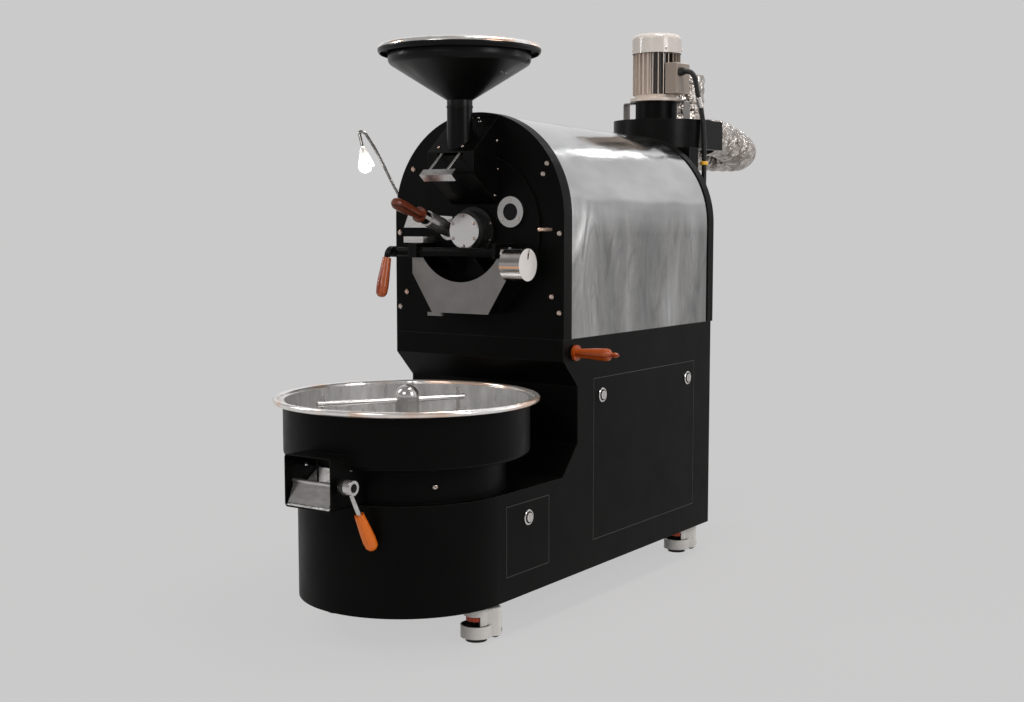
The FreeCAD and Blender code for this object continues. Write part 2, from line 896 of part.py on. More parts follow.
def heaters():
    rods = []
    rear = casing_rear - casing_wall
    for i in range(heater_count):
        middle = heater_low_angle + heater_pitch_angle * (i - (heater_count - 1) / 2)
        tips = []
        for side in (-1, 1):
            angle = math.radians(middle + side * heater_pitch_angle / 4)
            tips.append((heater_ring * math.cos(angle), drum_height + heater_ring * math.sin(angle)))
        legs = [rod(heater_radius, (x, heater_front, z), (x, rear, z)) for x, z in tips]
        (x0, z0), (x1, z1) = tips
        bend = math.hypot(x1 - x0, z1 - z0) / 2
        turn = V((x0 + x1) / 2, heater_front, (z0 + z1) / 2)
        normal = V(x1 - x0, 0, z1 - z0).cross(Y_AXIS).normalize()
        ring = Part.makeTorus(bend, heater_radius, turn, normal)
        reach = bend + 2 * heater_radius
        ring = ring.common(block(turn.x - reach, turn.x + reach, turn.y - reach, turn.y,
                                 turn.z - reach, turn.z + reach))
        rods.append(fused(legs + [ring]))
    save("heater_elements", rods)


def bearings():
    seat = bearing_body_front + bearing_seat_depth
    flange = rod(bearing_flange, (0, -face_disc_proud - bearing_flange_depth, drum_height),
                 (0, -face_disc_proud, drum_height))
    body = rod(bearing_body, (0, bearing_body_front, drum_height), (0, -face_disc_proud, drum_height))
    front = fused([flange, body])
    front = front.cut(rod(bearing_ring_outer, (0, bearing_body_front - overrun, drum_height),
                          (0, seat, drum_height)))
    front = front.cut(rod(shaft_radius + shaft_clear, (0, seat - overrun, drum_height),
                          (0, overrun, drum_height)))
    ring_front = pipe(bearing_ring_outer, shaft_radius + fit,
                      (0, seat - bearing_ring_width, drum_height), (0, seat, drum_height))
    rear_end = casing_rear + rear_flange_depth
    rear = pipe(rear_flange, bearing_ring_outer, (0, casing_rear, drum_height),
                (0, rear_end, drum_height))
    rear_lip = pipe(bearing_ring_outer, shaft_radius + shaft_clear, (0, casing_rear, drum_height),
                    (0, rear_end - bearing_ring_width, drum_height))
    rear = rear.fuse(rear_lip).removeSplitter()
    notch = rod(flue_radius, (0, casing_rear - overrun, drum_height + flue_drop),
                (0, rear_end + overrun, drum_height + flue_drop))
    ring_rear = pipe(bearing_ring_outer, shaft_radius + fit,
                     (0, rear_end - bearing_ring_width, drum_height), (0, rear_end, drum_height))
    bridge_top = deck_top - sheet
    top = tray_bottom + sheet
    column = turned([(stirrer_shaft + column_clear, bridge_top), (column_foot, bridge_top),
                     (column_foot, bridge_top + sheet), (column_tube, bridge_top + 2 * sheet),
                     (column_tube, top - gap), (stirrer_shaft + fit, top - gap),
                     (stirrer_shaft + fit, top - column_bush),
                     (stirrer_shaft + column_clear, top - column_bush)], 0, tray_y)
    save("bearing_housings", [front, ring_front, rear.cut(notch), ring_rear, column])

    cover = rod(cover_radius, (0, cover_front, drum_height), (0, bearing_body_front, drum_height))
    face_edges = [e for e in cover.Edges if abs(e.BoundBox.YMax - cover_front) < fit]
    save("bearing_cover", [cover.makeChamfer(cover_chamfer, face_edges)])


def gearmotors():
    rear = gearbox_front + gearbox_depth
    box = block(-gearbox_half, gearbox_half, gearbox_front, rear, drum_height - gearbox_half,
                drum_height + gearbox_half)
    middle = (gearbox_front + rear) / 2
    reach = min(gearmotor_radius, gearbox_depth / 2 - sheet)
    motor = Part.makeCylinder(reach, gearmotor_length,
                              V(0, middle, drum_height - gearbox_half - gearmotor_length))
    box = fused([box, motor])
    box = box.cut(rod(shaft_radius + fit, (0, gearbox_front - overrun, drum_height),
                      (0, rear + shaft_rear, drum_height)))
    bracket = block(-gear_bracket_half, gear_bracket_half, rear, rear_arch_rear - plate_sheet,
                    drum_height - gearbox_half, drum_height - gearbox_half + gear_bracket_sheet)
    top = deck_top - sheet - bridge_sheet
    low = top - stirrer_gearbox_height
    stirrer_box = block(-stirrer_gearbox_half, stirrer_gearbox_half, tray_y - stirrer_gearbox_half,
                        tray_y + stirrer_gearbox_half, low, top)
    stirrer_motor = Part.makeCylinder(stirrer_motor_radius, stirrer_motor_length,
                                      V(0, tray_y, low - stirrer_motor_length))
    stirrer_box = fused([stirrer_box, stirrer_motor])
    bore = Part.makeCylinder(stirrer_shaft + fit, top - stirrer_shaft_foot + 2 * overrun,
                             V(0, tray_y, stirrer_shaft_foot - overrun))
    save("gearmotors", [fused([box, bracket]), stirrer_box.cut(bore)])


def sight_glass():
    face = -face_disc_proud
    ring = pipe(sight_outer, sight_window, (sight_x, face - sight_depth, sight_z),
                (sight_x, face, sight_z))
    seat = rod(glass_radius, (sight_x, face - glass_depth, sight_z),
               (sight_x, face + overrun, sight_z))
    save("sight_ring", [ring.cut(seat)])
    save("sight_glass", [rod(glass_radius, (sight_x, face - glass_depth, sight_z),
                             (sight_x, face, sight_z))])


# Feed box with its pipe, hopper and sliding gate
slope_angle = math.degrees(math.atan2(feed_top - feed_shoulder, -feed_front))
slope_length = math.hypot(feed_top - feed_shoulder, feed_front)


def on_slope(shape):
    # Shapes for the sloped top are drawn flat: -Y runs down the slope, Z out of it.
    moved = shape.copy()
    moved.rotate(V(0, 0, 0), X_AXIS, slope_angle)
    moved.translate(V(0, feed_front, feed_shoulder))
    return moved


gate_depth = sheet + gap + gate_rod


def feed_box():
    outline = [(0, feed_top), (feed_front, feed_shoulder), (feed_front, feed_waist),
               (-face_disc_proud, feed_foot), (0, feed_foot)]
    rise = (feed_top - feed_shoulder) / -feed_front
    drop = sheet / math.cos(math.radians(slope_angle))
    inner = [(overrun, feed_top + overrun * rise - drop),
             (feed_front + sheet, feed_shoulder + sheet * rise - drop),
             (feed_front + sheet, feed_waist + sheet), (0, feed_foot + 2 * sheet),
             (overrun, feed_foot + 2 * sheet)]
    shell = prism_x(outline, -feed_half, feed_half)
    shell = shell.cut(prism_x(inner, -feed_half + sheet, feed_half - sheet))
    disc = rod(face_disc_radius, (0, -face_disc_proud, drum_height), (0, overrun, drum_height))
    tube = pipe(pipe_radius, pipe_radius - pipe_wall, (0, hopper_y, feed_shoulder),
                (0, hopper_y, pipe_top))
    outside = on_slope(block(-feed_half, feed_half, -slope_length, 2 * slope_length, 0,
                             2 * slope_length))
    tube = tube.common(outside)
    bead = pipe(pipe_radius + pipe_bead, pipe_radius - pipe_wall,
                (0, hopper_y, pipe_top - pipe_bead_height), (0, hopper_y, pipe_top))
    shell = shell.cut(rod(pipe_radius - pipe_wall, (0, hopper_y, feed_waist + 4 * overrun),
                          (0, hopper_y, pipe_top)))
    slot_half = gate_blade_half + gate_rod + gap
    slot = on_slope(block(-slot_half, slot_half, -3 * overrun, 2 * overrun,
                          -gate_depth - gate_rod - gap, -sheet))
    shell = shell.cut(slot)
    shell = shell.cut(disc)
    save("feed_box", [fused([shell, tube, bead])])


def hopper():
    r = pipe_radius
    line = [(r, pipe_top), (r, cone_foot), (cone_radius, cone_top), (cone_radius, curl_height)]
    cone = turned(folded(line, hopper_sheet), 0, hopper_y)
    knuckles = [e for e in cone.Edges if e.BoundBox.ZLength < fit
                and abs(e.BoundBox.ZMax - cone_top) < hopper_sheet]
    cone = cone.makeFillet(cone_round, knuckles)

    # The curl starts as the wall's own sheet and turns outward, open at its end.
    middle = cone_radius - hopper_sheet + curl_radius

    def arc(radius):
        points = []
        for angle in (180, 90 + curl_end_angle / 2, curl_end_angle):
            a = math.radians(angle)
            points.append(V(middle + radius * math.cos(a), hopper_y,
                            curl_height + radius * math.sin(a)))
        return Part.Arc(*points), points[0], points[-1]

    outer, outer_start, outer_end = arc(curl_radius)
    inner, inner_start, inner_end = arc(curl_radius - hopper_sheet)
    edges = [outer, Part.LineSegment(outer_end, inner_end), inner,
             Part.LineSegment(inner_start, outer_start)]
    face = Part.Face(Part.Wire([edge.toShape() for edge in edges]))
    curl = face.revolve(V(0, hopper_y, 0), Z_AXIS, 360)
    save("hopper", [fused([cone, curl])])


def feed_gate():
    depth = -gate_depth
    blade_foot = -hopper_to_front + gate_blade_half
    blade = block(-gate_blade_half, gate_blade_half, -blade_foot, -blade_foot + 2 * gate_blade_half,
                  depth - gate_blade_sheet / 2, depth + gate_blade_sheet / 2)
    rods = [rod(gate_rod, (x, -gate_reach, depth), (x, -blade_foot + gate_blade_half, depth))
            for x in (-gate_rod_spread, gate_rod_spread)]
    bend = math.radians(gate_flap_fold_angle)
    line = [(-gate_reach, depth), (-gate_reach - gate_flap_length, depth),
            (-gate_reach - gate_flap_length + gate_flap_fold * math.cos(bend),
             depth - gate_flap_fold * math.sin(bend))]
    flap = prism_x(folded(line, gate_blade_sheet), -gate_flap_half, gate_flap_half)
    save("feed_gate", [on_slope(fused([blade, flap] + rods))])


hopper_to_front = (hopper_y - feed_front) / math.cos(math.radians(slope_angle))


# Discharge chute, its apron, the door and its lever
def chute_outline(grow):
    top, foot = chute_half_top - grow, chute_half_foot - grow
    return [(-top, chute_top), (-top, chute_knee), (-foot, chute_foot), (foot, chute_foot),
            (top, chute_knee), (top, chute_top)]


def discharge_chute():
    back = -face_disc_proud
    front = apron_front + apron_sheet
    walls = prism_y(chute_outline(0), front, 0)
    walls = walls.cut(prism_y(chute_outline(sheet), front - overrun, overrun))
    walls = walls.cut(block(-chute_half_foot + sheet, chute_half_foot - sheet, front - overrun,
                            overrun, chute_foot - overrun, chute_foot + overrun))
    walls = walls.cut(block(-chute_half_top + sheet, chute_half_top - sheet, front - overrun,
                            overrun, chute_top - overrun, chute_top + overrun))
    disc = rod(face_disc_radius, (0, back, drum_height), (0, overrun, drum_height))
    hole = rod(door_shaft_radius + fit, (-half_width, door_shaft_y, door_shaft_z),
               (half_width, door_shaft_y, door_shaft_z))
    brackets = []
    for x, width in ((left_bracket_x, left_bracket_width), (right_bracket_x, right_bracket_width)):
        bracket = block(x, x + width, door_shaft_y - bracket_lip, 0, chute_top + gap,
                        door_shaft_z + bracket_rise)
        brackets.append(bracket.cut(hole).cut(disc))
    save("discharge_chute", [walls.cut(disc)] + brackets)

    apron = prism_y(chute_outline(0), apron_front, front)
    apron = apron.cut(rod(apron_cut_radius, (0, apron_front - overrun, apron_cut_centre),
                          (0, front + overrun, apron_cut_centre)))
    puck = Part.makeCylinder(puck_radius, puck_height, V(puck_x, puck_y, chute_foot - puck_height))
    puck = puck.common(block(puck_x - puck_radius, puck_x + puck_radius, apron_front,
                             puck_y + puck_radius, chute_foot - puck_height, chute_foot))
    save("chute_apron", [apron, puck])


def strap(x0, x1):
    start = V(x0, lever_strap_y, lever_strap_z)
    ring = pipe(lever_strap_outer, lever_strap_outer - lever_strap_sheet, tuple(start),
                (x1, lever_strap_y, lever_strap_z))
    quarter = block(x0, x1, lever_strap_y - lever_strap_outer, lever_strap_y, lever_strap_z,
                    lever_strap_z + lever_strap_outer)
    return ring.common(quarter)


def door():
    back = -face_disc_proud - gap
    plate = block(-discharge_half - door_margin, discharge_half + door_margin, back - door_sheet,
                  back, discharge_low - door_margin, discharge_high + door_margin)
    shaft = rod(door_shaft_radius, (door_shaft_left, door_shaft_y, door_shaft_z),
                (door_shaft_right, door_shaft_y, door_shaft_z))
    arms = []
    for x in (-door_arm_x, door_arm_x):
        outline = [(back - door_sheet, discharge_high + door_margin),
                   (back - door_sheet, discharge_high - 4 * door_margin),
                   (back - door_sheet - door_margin, discharge_high - 4 * door_margin),
                   (door_shaft_y - door_shaft_radius / 2, door_shaft_z - door_shaft_radius / 2),
                   (door_shaft_y, door_shaft_z + door_shaft_radius / 2)]
        arms.append(prism_x(outline, x - door_arm_sheet / 2, x + door_arm_sheet / 2))
    boss = rod(lever_boss, (lever_boss_left, door_shaft_y, door_shaft_z),
               (door_shaft_left + lever_strap_half, door_shaft_y, door_shaft_z))
    x0, x1 = lever_grip_x - lever_strap_half, lever_grip_x + lever_strap_half
    top = V(lever_grip_x, lever_grip_top_y, lever_grip_top_z)
    foot = V(lever_grip_x, lever_grip_foot_y, lever_grip_foot_z)
    down = (foot - top).normalize()
    tang = rod(grip_bore, tuple(top - down * lever_strap_sheet),
               tuple(top + down * (lever_grip_start + 3 * grip_bore)))
    ring = strap(x0, x1)
    save("discharge_door", [fused([plate, shaft, boss, ring, tang] + arms)])

    weight = rod(weight_radius, (weight_left, weight_y, weight_z), (weight_right, weight_y, weight_z))
    slot = block(weight_right - weight_slot_depth, weight_right + overrun,
                 weight_y - weight_slot / 2, weight_y + weight_slot / 2,
                 weight_z + weight_slot_foot, weight_z + weight_radius + overrun)
    hub = rod(hub_radius, (hub_left, door_shaft_y, door_shaft_z),
              (weight_left, door_shaft_y, door_shaft_z))
    bore = rod(door_shaft_radius, (hub_left - overrun, door_shaft_y, door_shaft_z),
               (door_shaft_right, door_shaft_y, door_shaft_z))
    save("counterweight", [fused([weight.cut(slot), hub]).cut(bore)])
    save("door_handle", [grip(tuple(top + down * lever_grip_start), tuple(foot), 3 * grip_bore,
                              False)])


# Bean tryer with its guide, the polished plate behind it and the rest below it
def tryer():
    stop = rod(face_disc_radius, (0, -face_disc_proud, drum_height),
               (0, face_disc_proud + 4 * overrun, drum_height))
    tube = rod(tryer_tube, tryer_line(-tryer_bore), tryer_line(tryer_tube_length))
    flange = rod(tryer_flange, (tryer_x, tryer_start_y - tryer_flange_depth, tryer_start_z),
                 (tryer_x, tryer_start_y, tryer_start_z))
    cover_room = rod(bearing_flange, (0, -3 * face_disc_proud, drum_height),
                     (0, 0, drum_height))
    guide = fused([tube, flange]).cut(stop).cut(cover_room)
    guide = guide.cut(rod(tryer_bore, tryer_line(-2 * tryer_tube), tryer_line(tryer_tube_length
                                                                              + overrun)))
    plate = prism_y([(plate_left, plate_low), (plate_left + plate_lean, plate_high),
                     (plate_right, plate_high - plate_lean / 2), (plate_right, plate_low)],
                    -plate_back - plate_front_gap, -plate_back)
    room = rod(tryer_tube + fit, tryer_line(-tryer_tube), tryer_line(tryer_tube_length))
    room = room.fuse(rod(tryer_flange, (tryer_x, tryer_start_y - tryer_flange_depth, tryer_start_z),
                         (tryer_x, tryer_start_y, tryer_start_z)))
    body_room = rod(bearing_flange, (0, bearing_body_front, drum_height), (0, 0, drum_height))
    plate = plate.cut(room).cut(body_room)
    spacer = block(plate_left + plate_lean, plate_left + 2 * plate_lean, -plate_back, 0,
                   plate_low + tryer_flange_depth, plate_low + tryer_flange_depth + plate_lean)
    disc = rod(face_disc_radius, (0, -face_disc_proud, drum_height), (0, overrun, drum_height))
    spacer = spacer.cut(disc)
    shelf = block(rest_left, rest_right, rest_front, 0, rest_low, rest_high)
    shelf = shelf.cut(block(rest_left + sheet, rest_right - sheet, rest_front + sheet, overrun,
                            rest_low - overrun, rest_high - sheet)).cut(disc)
    save("tryer_guide", [guide, shelf, plate, spacer])

    face = tryer_tube_length + gap
    ferrule = rod(ferrule_radius, tryer_line(face), tryer_line(face + ferrule_length))
    sleeve = rod(tryer_bore - fit, tryer_line(tryer_tube_length - collar_inset), tryer_line(face))
    collar = fused([ferrule, sleeve])
    collar = collar.cut(rod(collar_core + fit, tryer_line(0), tryer_line(2 * tryer_tube_length)))
    save("tryer_collar", [collar])

    end = face + ferrule_length + gap
    stem = rod(collar_core, tryer_line(0), tryer_line(end + 4 * grip_bore))
    trough = rod(tryer_bore - fit, tryer_line(-scoop_length), tryer_line(0))
    trough = trough.cut(rod(tryer_bore - fit - scoop_sheet, tryer_line(scoop_plug - scoop_length),
                            tryer_line(-scoop_plug)))
    tilt = math.radians(tryer_tilt)
    top = block(tryer_x - tryer_tube, tryer_x + tryer_tube, 0, scoop_length - 2 * scoop_plug, 0,
                2 * tryer_tube)
    top.rotate(V(tryer_x, 0, 0), X_AXIS, -tryer_tilt)
    origin = tryer_line(-scoop_plug)
    top.translate(V(0, origin[1], origin[2]))
    small = rod(grip_bore, tryer_line(end), tryer_line(end + 4 * grip_bore))
    stem = rod(collar_core, tryer_line(0), tryer_line(end)).fuse(small)
    save("tryer_scoop", [fused([trough.cut(top), stem])])
    save("tryer_handle", [grip(tryer_line(end), tryer_line(end + tryer_grip_length),
                               4 * grip_bore, True)])


# Damper rod with its wooden grip
def damper():
    start = half_width + damper_bush_depth + gap
    shaft = rod(damper_rod_radius, (damper_rod_left, damper_y, damper_z),
                (damper_tip - damper_tip_length, damper_y, damper_z))
    cap_start = damper_grip_right
    cap = turned_along([(0, 0), (0, damper_cap), (damper_cap_depth, damper_rod_radius),
                        (damper_cap_depth, 0)], (cap_start, damper_y, damper_z),
                       (damper_tip, damper_y, damper_z))
    tip = turned_along([(0, 0), (0, damper_tip_radius), (damper_tip_length / 2, damper_tip_radius),
                        (damper_tip_length, damper_tip_radius / 2), (damper_tip_length, 0)],
                       (damper_tip - damper_tip_length, damper_y, damper_z),
                       (damper_tip, damper_y, damper_z))
    core = fused([shaft, cap, tip])
    length = damper_grip_right - start
    profile_shares = [(0.30, 0.78), (0.70, 0.95), (0.92, 1.0), (1.0, 0.90)]
    profile = [(0, damper_rod_radius), (0, grip_collar), (grip_collar_width, grip_collar),
               (grip_collar_width, grip_neck)]
    profile += [(length * along, grip_radius * width) for along, width in profile_shares]
    profile += [(length, damper_rod_radius)]
    wood = turned_along(profile, (start, damper_y, damper_z),
                        (damper_grip_right, damper_y, damper_z))
    save("damper_handle", [core, wood])


# Cooling tray
def tray_trap(low, high):
    sector = Part.makeCylinder(trap_front_radius, high - low, V(0, tray_y, low))
    front = block(-trap_half, trap_half, tray_y - tray_wall_radius, tray_y - trap_back, low, high)
    return sector.common(front)


def tray():
    height = tray_wall_top - tray_bottom
    outer = Part.makeCylinder(tray_wall_radius, height, V(0, tray_y, tray_bottom))
    low_edges = [e for e in outer.Edges if abs(e.BoundBox.ZMax - tray_bottom) < fit]
    outer = outer.makeFillet(tray_corner, low_edges)
    inner = Part.makeCylinder(tray_wall_radius - sheet, height, V(0, tray_y, tray_bottom + sheet))
    low_edges = [e for e in inner.Edges if abs(e.BoundBox.ZMax - tray_bottom - sheet) < fit]
    inner = inner.makeFillet(tray_corner - sheet, low_edges)
    pan = outer.cut(inner)
    pan = pan.cut(Part.makeCylinder(collar_radius - sheet, 2 * sheet,
                                    V(0, tray_y, tray_bottom - sheet / 2)))
    neck = pipe(collar_radius, collar_radius - sheet, (0, tray_y, deck_top),
                (0, tray_y, tray_bottom + sheet / 2))
    pan = fused([pan, neck]).cut(tray_trap(tray_bottom - overrun, tray_bottom + overrun))

    box = block(-tray_chute_half, tray_chute_half, -tray_chute_front, tray_y - collar_radius / 2,
                deck_top, tray_chute_top)
    long_edges = [e for e in box.Edges if abs(e.BoundBox.YLength) > tray_chute_half]
    box = box.makeFillet(tray_chute_corner, long_edges)
    hollow = block(-tray_chute_half + sheet, tray_chute_half - sheet, -tray_chute_front - overrun,
                   tray_y, deck_top + sheet, tray_chute_top - sheet)
    long_edges = [e for e in hollow.Edges if abs(e.BoundBox.YLength) > tray_chute_half]
    hollow = hollow.makeFillet(tray_chute_corner - sheet, long_edges)
    envelope = Part.makeCylinder(tray_wall_radius, height, V(0, tray_y, tray_bottom))
    envelope = envelope.fuse(Part.makeCylinder(collar_radius, tray_bottom - deck_top + overrun,
                                               V(0, tray_y, deck_top - overrun / 2)))
    chute = box.cut(hollow).cut(envelope)
    bush = rod(gate_bush_radius, (tray_chute_half, gate_shaft_y, gate_shaft_z),
               (tray_chute_half + gate_bush_width, gate_shaft_y, gate_shaft_z))
    chute = chute.fuse(bush)
    chute = chute.cut(rod(gate_shaft_radius + fit, (-half_width, gate_shaft_y, gate_shaft_z),
                          (half_width, gate_shaft_y, gate_shaft_z)))
    hanger = rod(hanger_radius, (tray_chute_half / 8, gate_shaft_y,
                                 gate_shaft_z + gate_knuckle + gap),
                 (tray_chute_half / 8, gate_shaft_y, tray_chute_top - sheet))
    chute = fused([chute, hanger])
    save("tray_pan", [pan, chute])

    liner_outer = tray_wall_radius - sheet
    liner_low = tray_bottom + tray_corner
    wall = pipe(liner_outer, liner_outer - liner_sheet, (0, tray_y, liner_low),
                (0, tray_y, rim_height))
    lip = pipe(rim_outer - rim_tube, liner_outer - liner_sheet, (0, tray_y, rim_height - liner_sheet),
               (0, tray_y, rim_height))
    rim = Part.makeTorus(rim_outer - rim_tube, rim_tube, V(0, tray_y, rim_height))
    slope = [(-tray_chute_front - liner_sheet / 2, deck_top + chute_floor_rise),
             (tray_y - collar_radius - gap, tray_bottom - sheet)]
    slide = prism_x(folded(slope, liner_sheet), -chute_floor_half, chute_floor_half)
    slide = slide.common(block(-tray_chute_half, tray_chute_half, -tray_chute_front,
                               tray_y - collar_radius, deck_top + sheet, tray_bottom))
    save("tray_liner", [fused([wall, lip, rim]), slide])


def tray_screen():
    radius = tray_wall_radius - tray_corner
    low = tray_bottom + sheet
    disc = Part.makeCylinder(radius, screen_sheet, V(0, tray_y, low))
    disc = disc.cut(Part.makeCylinder(stirrer_shaft + column_clear, screen_sheet + 2 * overrun,
                                      V(0, tray_y, low - overrun)))
    disc = disc.cut(tray_trap(low - overrun, low + screen_sheet + overrun))
    slots = []
    for ring in range(screen_ring_count):
        middle = screen_first_ring + ring * screen_ring_pitch
        count = screen_first_count + ring * screen_step_count
        for i in range(count):
            slot = block(middle - screen_slot_length / 2, middle + screen_slot_length / 2,
                         -screen_slot_width / 2, screen_slot_width / 2, low - overrun,
                         low + screen_sheet + overrun)
            slot.rotate(V(0, 0, 0), Z_AXIS, 360 * (i + 0.5) / count)
            slot.translate(V(0, tray_y, 0))
            slots.append(slot)
    keep = Part.makeCylinder(collar_radius - 4 * sheet, 4 * overrun, V(0, tray_y, low - 2 * overrun))
    save("tray_screen", [disc.cut(Part.makeCompound(slots).common(keep))])


def tray_gate():
    shaft = rod(gate_shaft_radius, (-tray_chute_half, gate_shaft_y, gate_shaft_z),
                (gate_lever_x + gate_hub_width / 4, gate_shaft_y, gate_shaft_z))
    knuckle = rod(gate_knuckle, (-gate_plate_half, gate_shaft_y, gate_shaft_z),
                  (gate_plate_half, gate_shaft_y, gate_shaft_z))
    lip_y = -tray_chute_front + 2 * liner_sheet
    lip_z = deck_top + gate_lip_rise
    plate = prism_x(folded([(gate_shaft_y - gate_knuckle / 2, gate_shaft_z), (lip_y, lip_z)],
                           gate_plate_sheet), -gate_plate_half, gate_plate_half)
    hub_left = tray_chute_half + gate_bush_width + gap
    hub = rod(gate_hub_radius, (hub_left, gate_shaft_y, gate_shaft_z),
              (hub_left + gate_hub_width, gate_shaft_y, gate_shaft_z))
    hub = hub.cut(rod(gate_socket, (hub_left + gate_hub_width - gate_socket_depth, gate_shaft_y,
                                    gate_shaft_z),
                      (hub_left + gate_hub_width + overrun, gate_shaft_y, gate_shaft_z)))
    hub_middle = V(gate_lever_x, gate_shaft_y, gate_shaft_z)
    top = V(gate_grip_x, gate_grip_y, gate_grip_z)
    end = V(gate_grip_end_x, gate_grip_end_y, gate_grip_end_z)
    down = (end - top).normalize()
    stalk = rod(gate_lever_radius, tuple(hub_middle + (top - hub_middle) * 0.2), tuple(top))
    elbow = Part.makeSphere(gate_lever_radius, top)
    tang = rod(grip_bore, tuple(top), tuple(top + down * (gate_grip_start + 3 * grip_bore)))
    save("tray_gate", [fused([shaft, knuckle, plate, hub, stalk, elbow, tang])])
    save("gate_handle", [grip(tuple(top + down * gate_grip_start), tuple(end), 3 * grip_bore,
                              False)])


def stirrer():
    floor = tray_bottom + sheet + screen_sheet
    shaft = Part.makeCylinder(stirrer_shaft, floor + 2 * stirrer_hub - stirrer_shaft_foot,
                              V(0, tray_y, stirrer_shaft_foot))
    dome_centre = stirrer_top - stirrer_hub
    hub = Part.makeCylinder(stirrer_hub, dome_centre - floor - paddle_low_gap / 2,
                            V(0, tray_y, floor + paddle_low_gap / 2))
    dome = Part.makeSphere(stirrer_hub, V(0, tray_y, dome_centre))
    parts = [shaft, hub, dome]
    for reach, length, turn in ((arm_short, paddle_short_length, arm_angle),
                                (arm_long, paddle_long_length, arm_angle + 180)):
        bar = rod(arm_radius, (0, 0, arm_height), (reach, 0, arm_height))
        pin_x = reach - arm_pin_inset
        low = floor + paddle_low_gap
        pin = Part.makeCylinder(arm_pin, arm_height + arm_pin_rise - low - paddle_height / 2,
                                V(pin_x, 0, low + paddle_height / 2))
        paddle = block(pin_x - length / 2, pin_x + length / 2, -paddle_sheet / 2,
                       paddle_sheet / 2, low, low + paddle_height)
        paddle.rotate(V(pin_x, 0, 0), Z_AXIS, paddle_skew)
        arm = [bar, pin, paddle]
        for shape in arm:
            shape.rotate(V(0, 0, 0), Z_AXIS, turn)
            shape.translate(V(0, tray_y, 0))
        parts += arm
    save("stirrer", [fused(parts)])


def cooling_fan():
    low = base_bottom + floor_sheet
    scroll = Part.makeCylinder(fan_radius, fan_depth, V(0, fan_y, fan_z), Y_AXIS)
    motor = Part.makeCylinder(fan_motor_radius, fan_motor_length,
                              V(0, fan_y - fan_motor_length, fan_z), Y_AXIS)
    outlet = rod(fan_outlet_radius - sheet, (0, fan_y + fan_depth, fan_z), (0, cabinet_rear, fan_z))
    outlet = outlet.fuse(rod(fan_outlet_radius, (0, cabinet_rear, fan_z),
                             (0, cabinet_rear + fan_outlet_reach, fan_z)))
    foot = block(-fan_radius / 2, fan_radius / 2, fan_y, fan_y + fan_depth, low, fan_z)
    foot = foot.cut(block(-fan_radius / 2 + fan_foot_sheet, fan_radius / 2 - fan_foot_sheet,
                          fan_y - overrun, fan_y + fan_depth + overrun, low + fan_foot_sheet,
                          fan_z))
    hollow = Part.makeCylinder(fan_radius - fan_sheet, fan_depth - 2 * fan_sheet,
                               V(0, fan_y + fan_sheet, fan_z), Y_AXIS)
    foot = foot.cut(Part.makeCylinder(fan_radius - fan_sheet, fan_depth, V(0, fan_y, fan_z),
                                      Y_AXIS))
    bore = rod(fan_outlet_radius - 2 * sheet, (0, fan_y + fan_depth / 2, fan_z),
               (0, cabinet_rear + 2 * fan_outlet_reach, fan_z))
    scroll = scroll.cut(hollow)
    save("cooling_fan", [fused([scroll, motor, outlet, foot]).cut(bore)])


# Exhaust blower
def volute_face(inset, z):
    small, middle, large = (r - inset for r in (volute_small, volute_middle, volute_large))
    step_x = volute_middle - volute_small
    step_y = volute_large - volute_middle
    left = V(-small, blower_y, z)
    low = V(step_x, blower_y - middle, z)
    right = V(step_x + large, blower_y + step_y, z)
    top = V(0, blower_y + small, z)
    mid = math.sqrt(0.5)
    arcs = [Part.Arc(top, V(-small * mid, blower_y + small * mid, z), left),
            Part.Arc(left, V(step_x - middle * mid, blower_y - middle * mid, z), low),
            Part.Arc(low, V(step_x + large * mid, blower_y + step_y - large * mid, z), right)]
    corners = [right, V(right.x, blower_y + outlet_rear - inset, z),
               V(outlet_left + inset, blower_y + outlet_rear - inset, z),
               V(outlet_left + inset, blower_y + small, z), top]
    lines = [Part.LineSegment(corners[i], corners[i + 1]) for i in range(4)]
    return Part.Face(Part.Wire([curve.toShape() for curve in arcs + lines]))


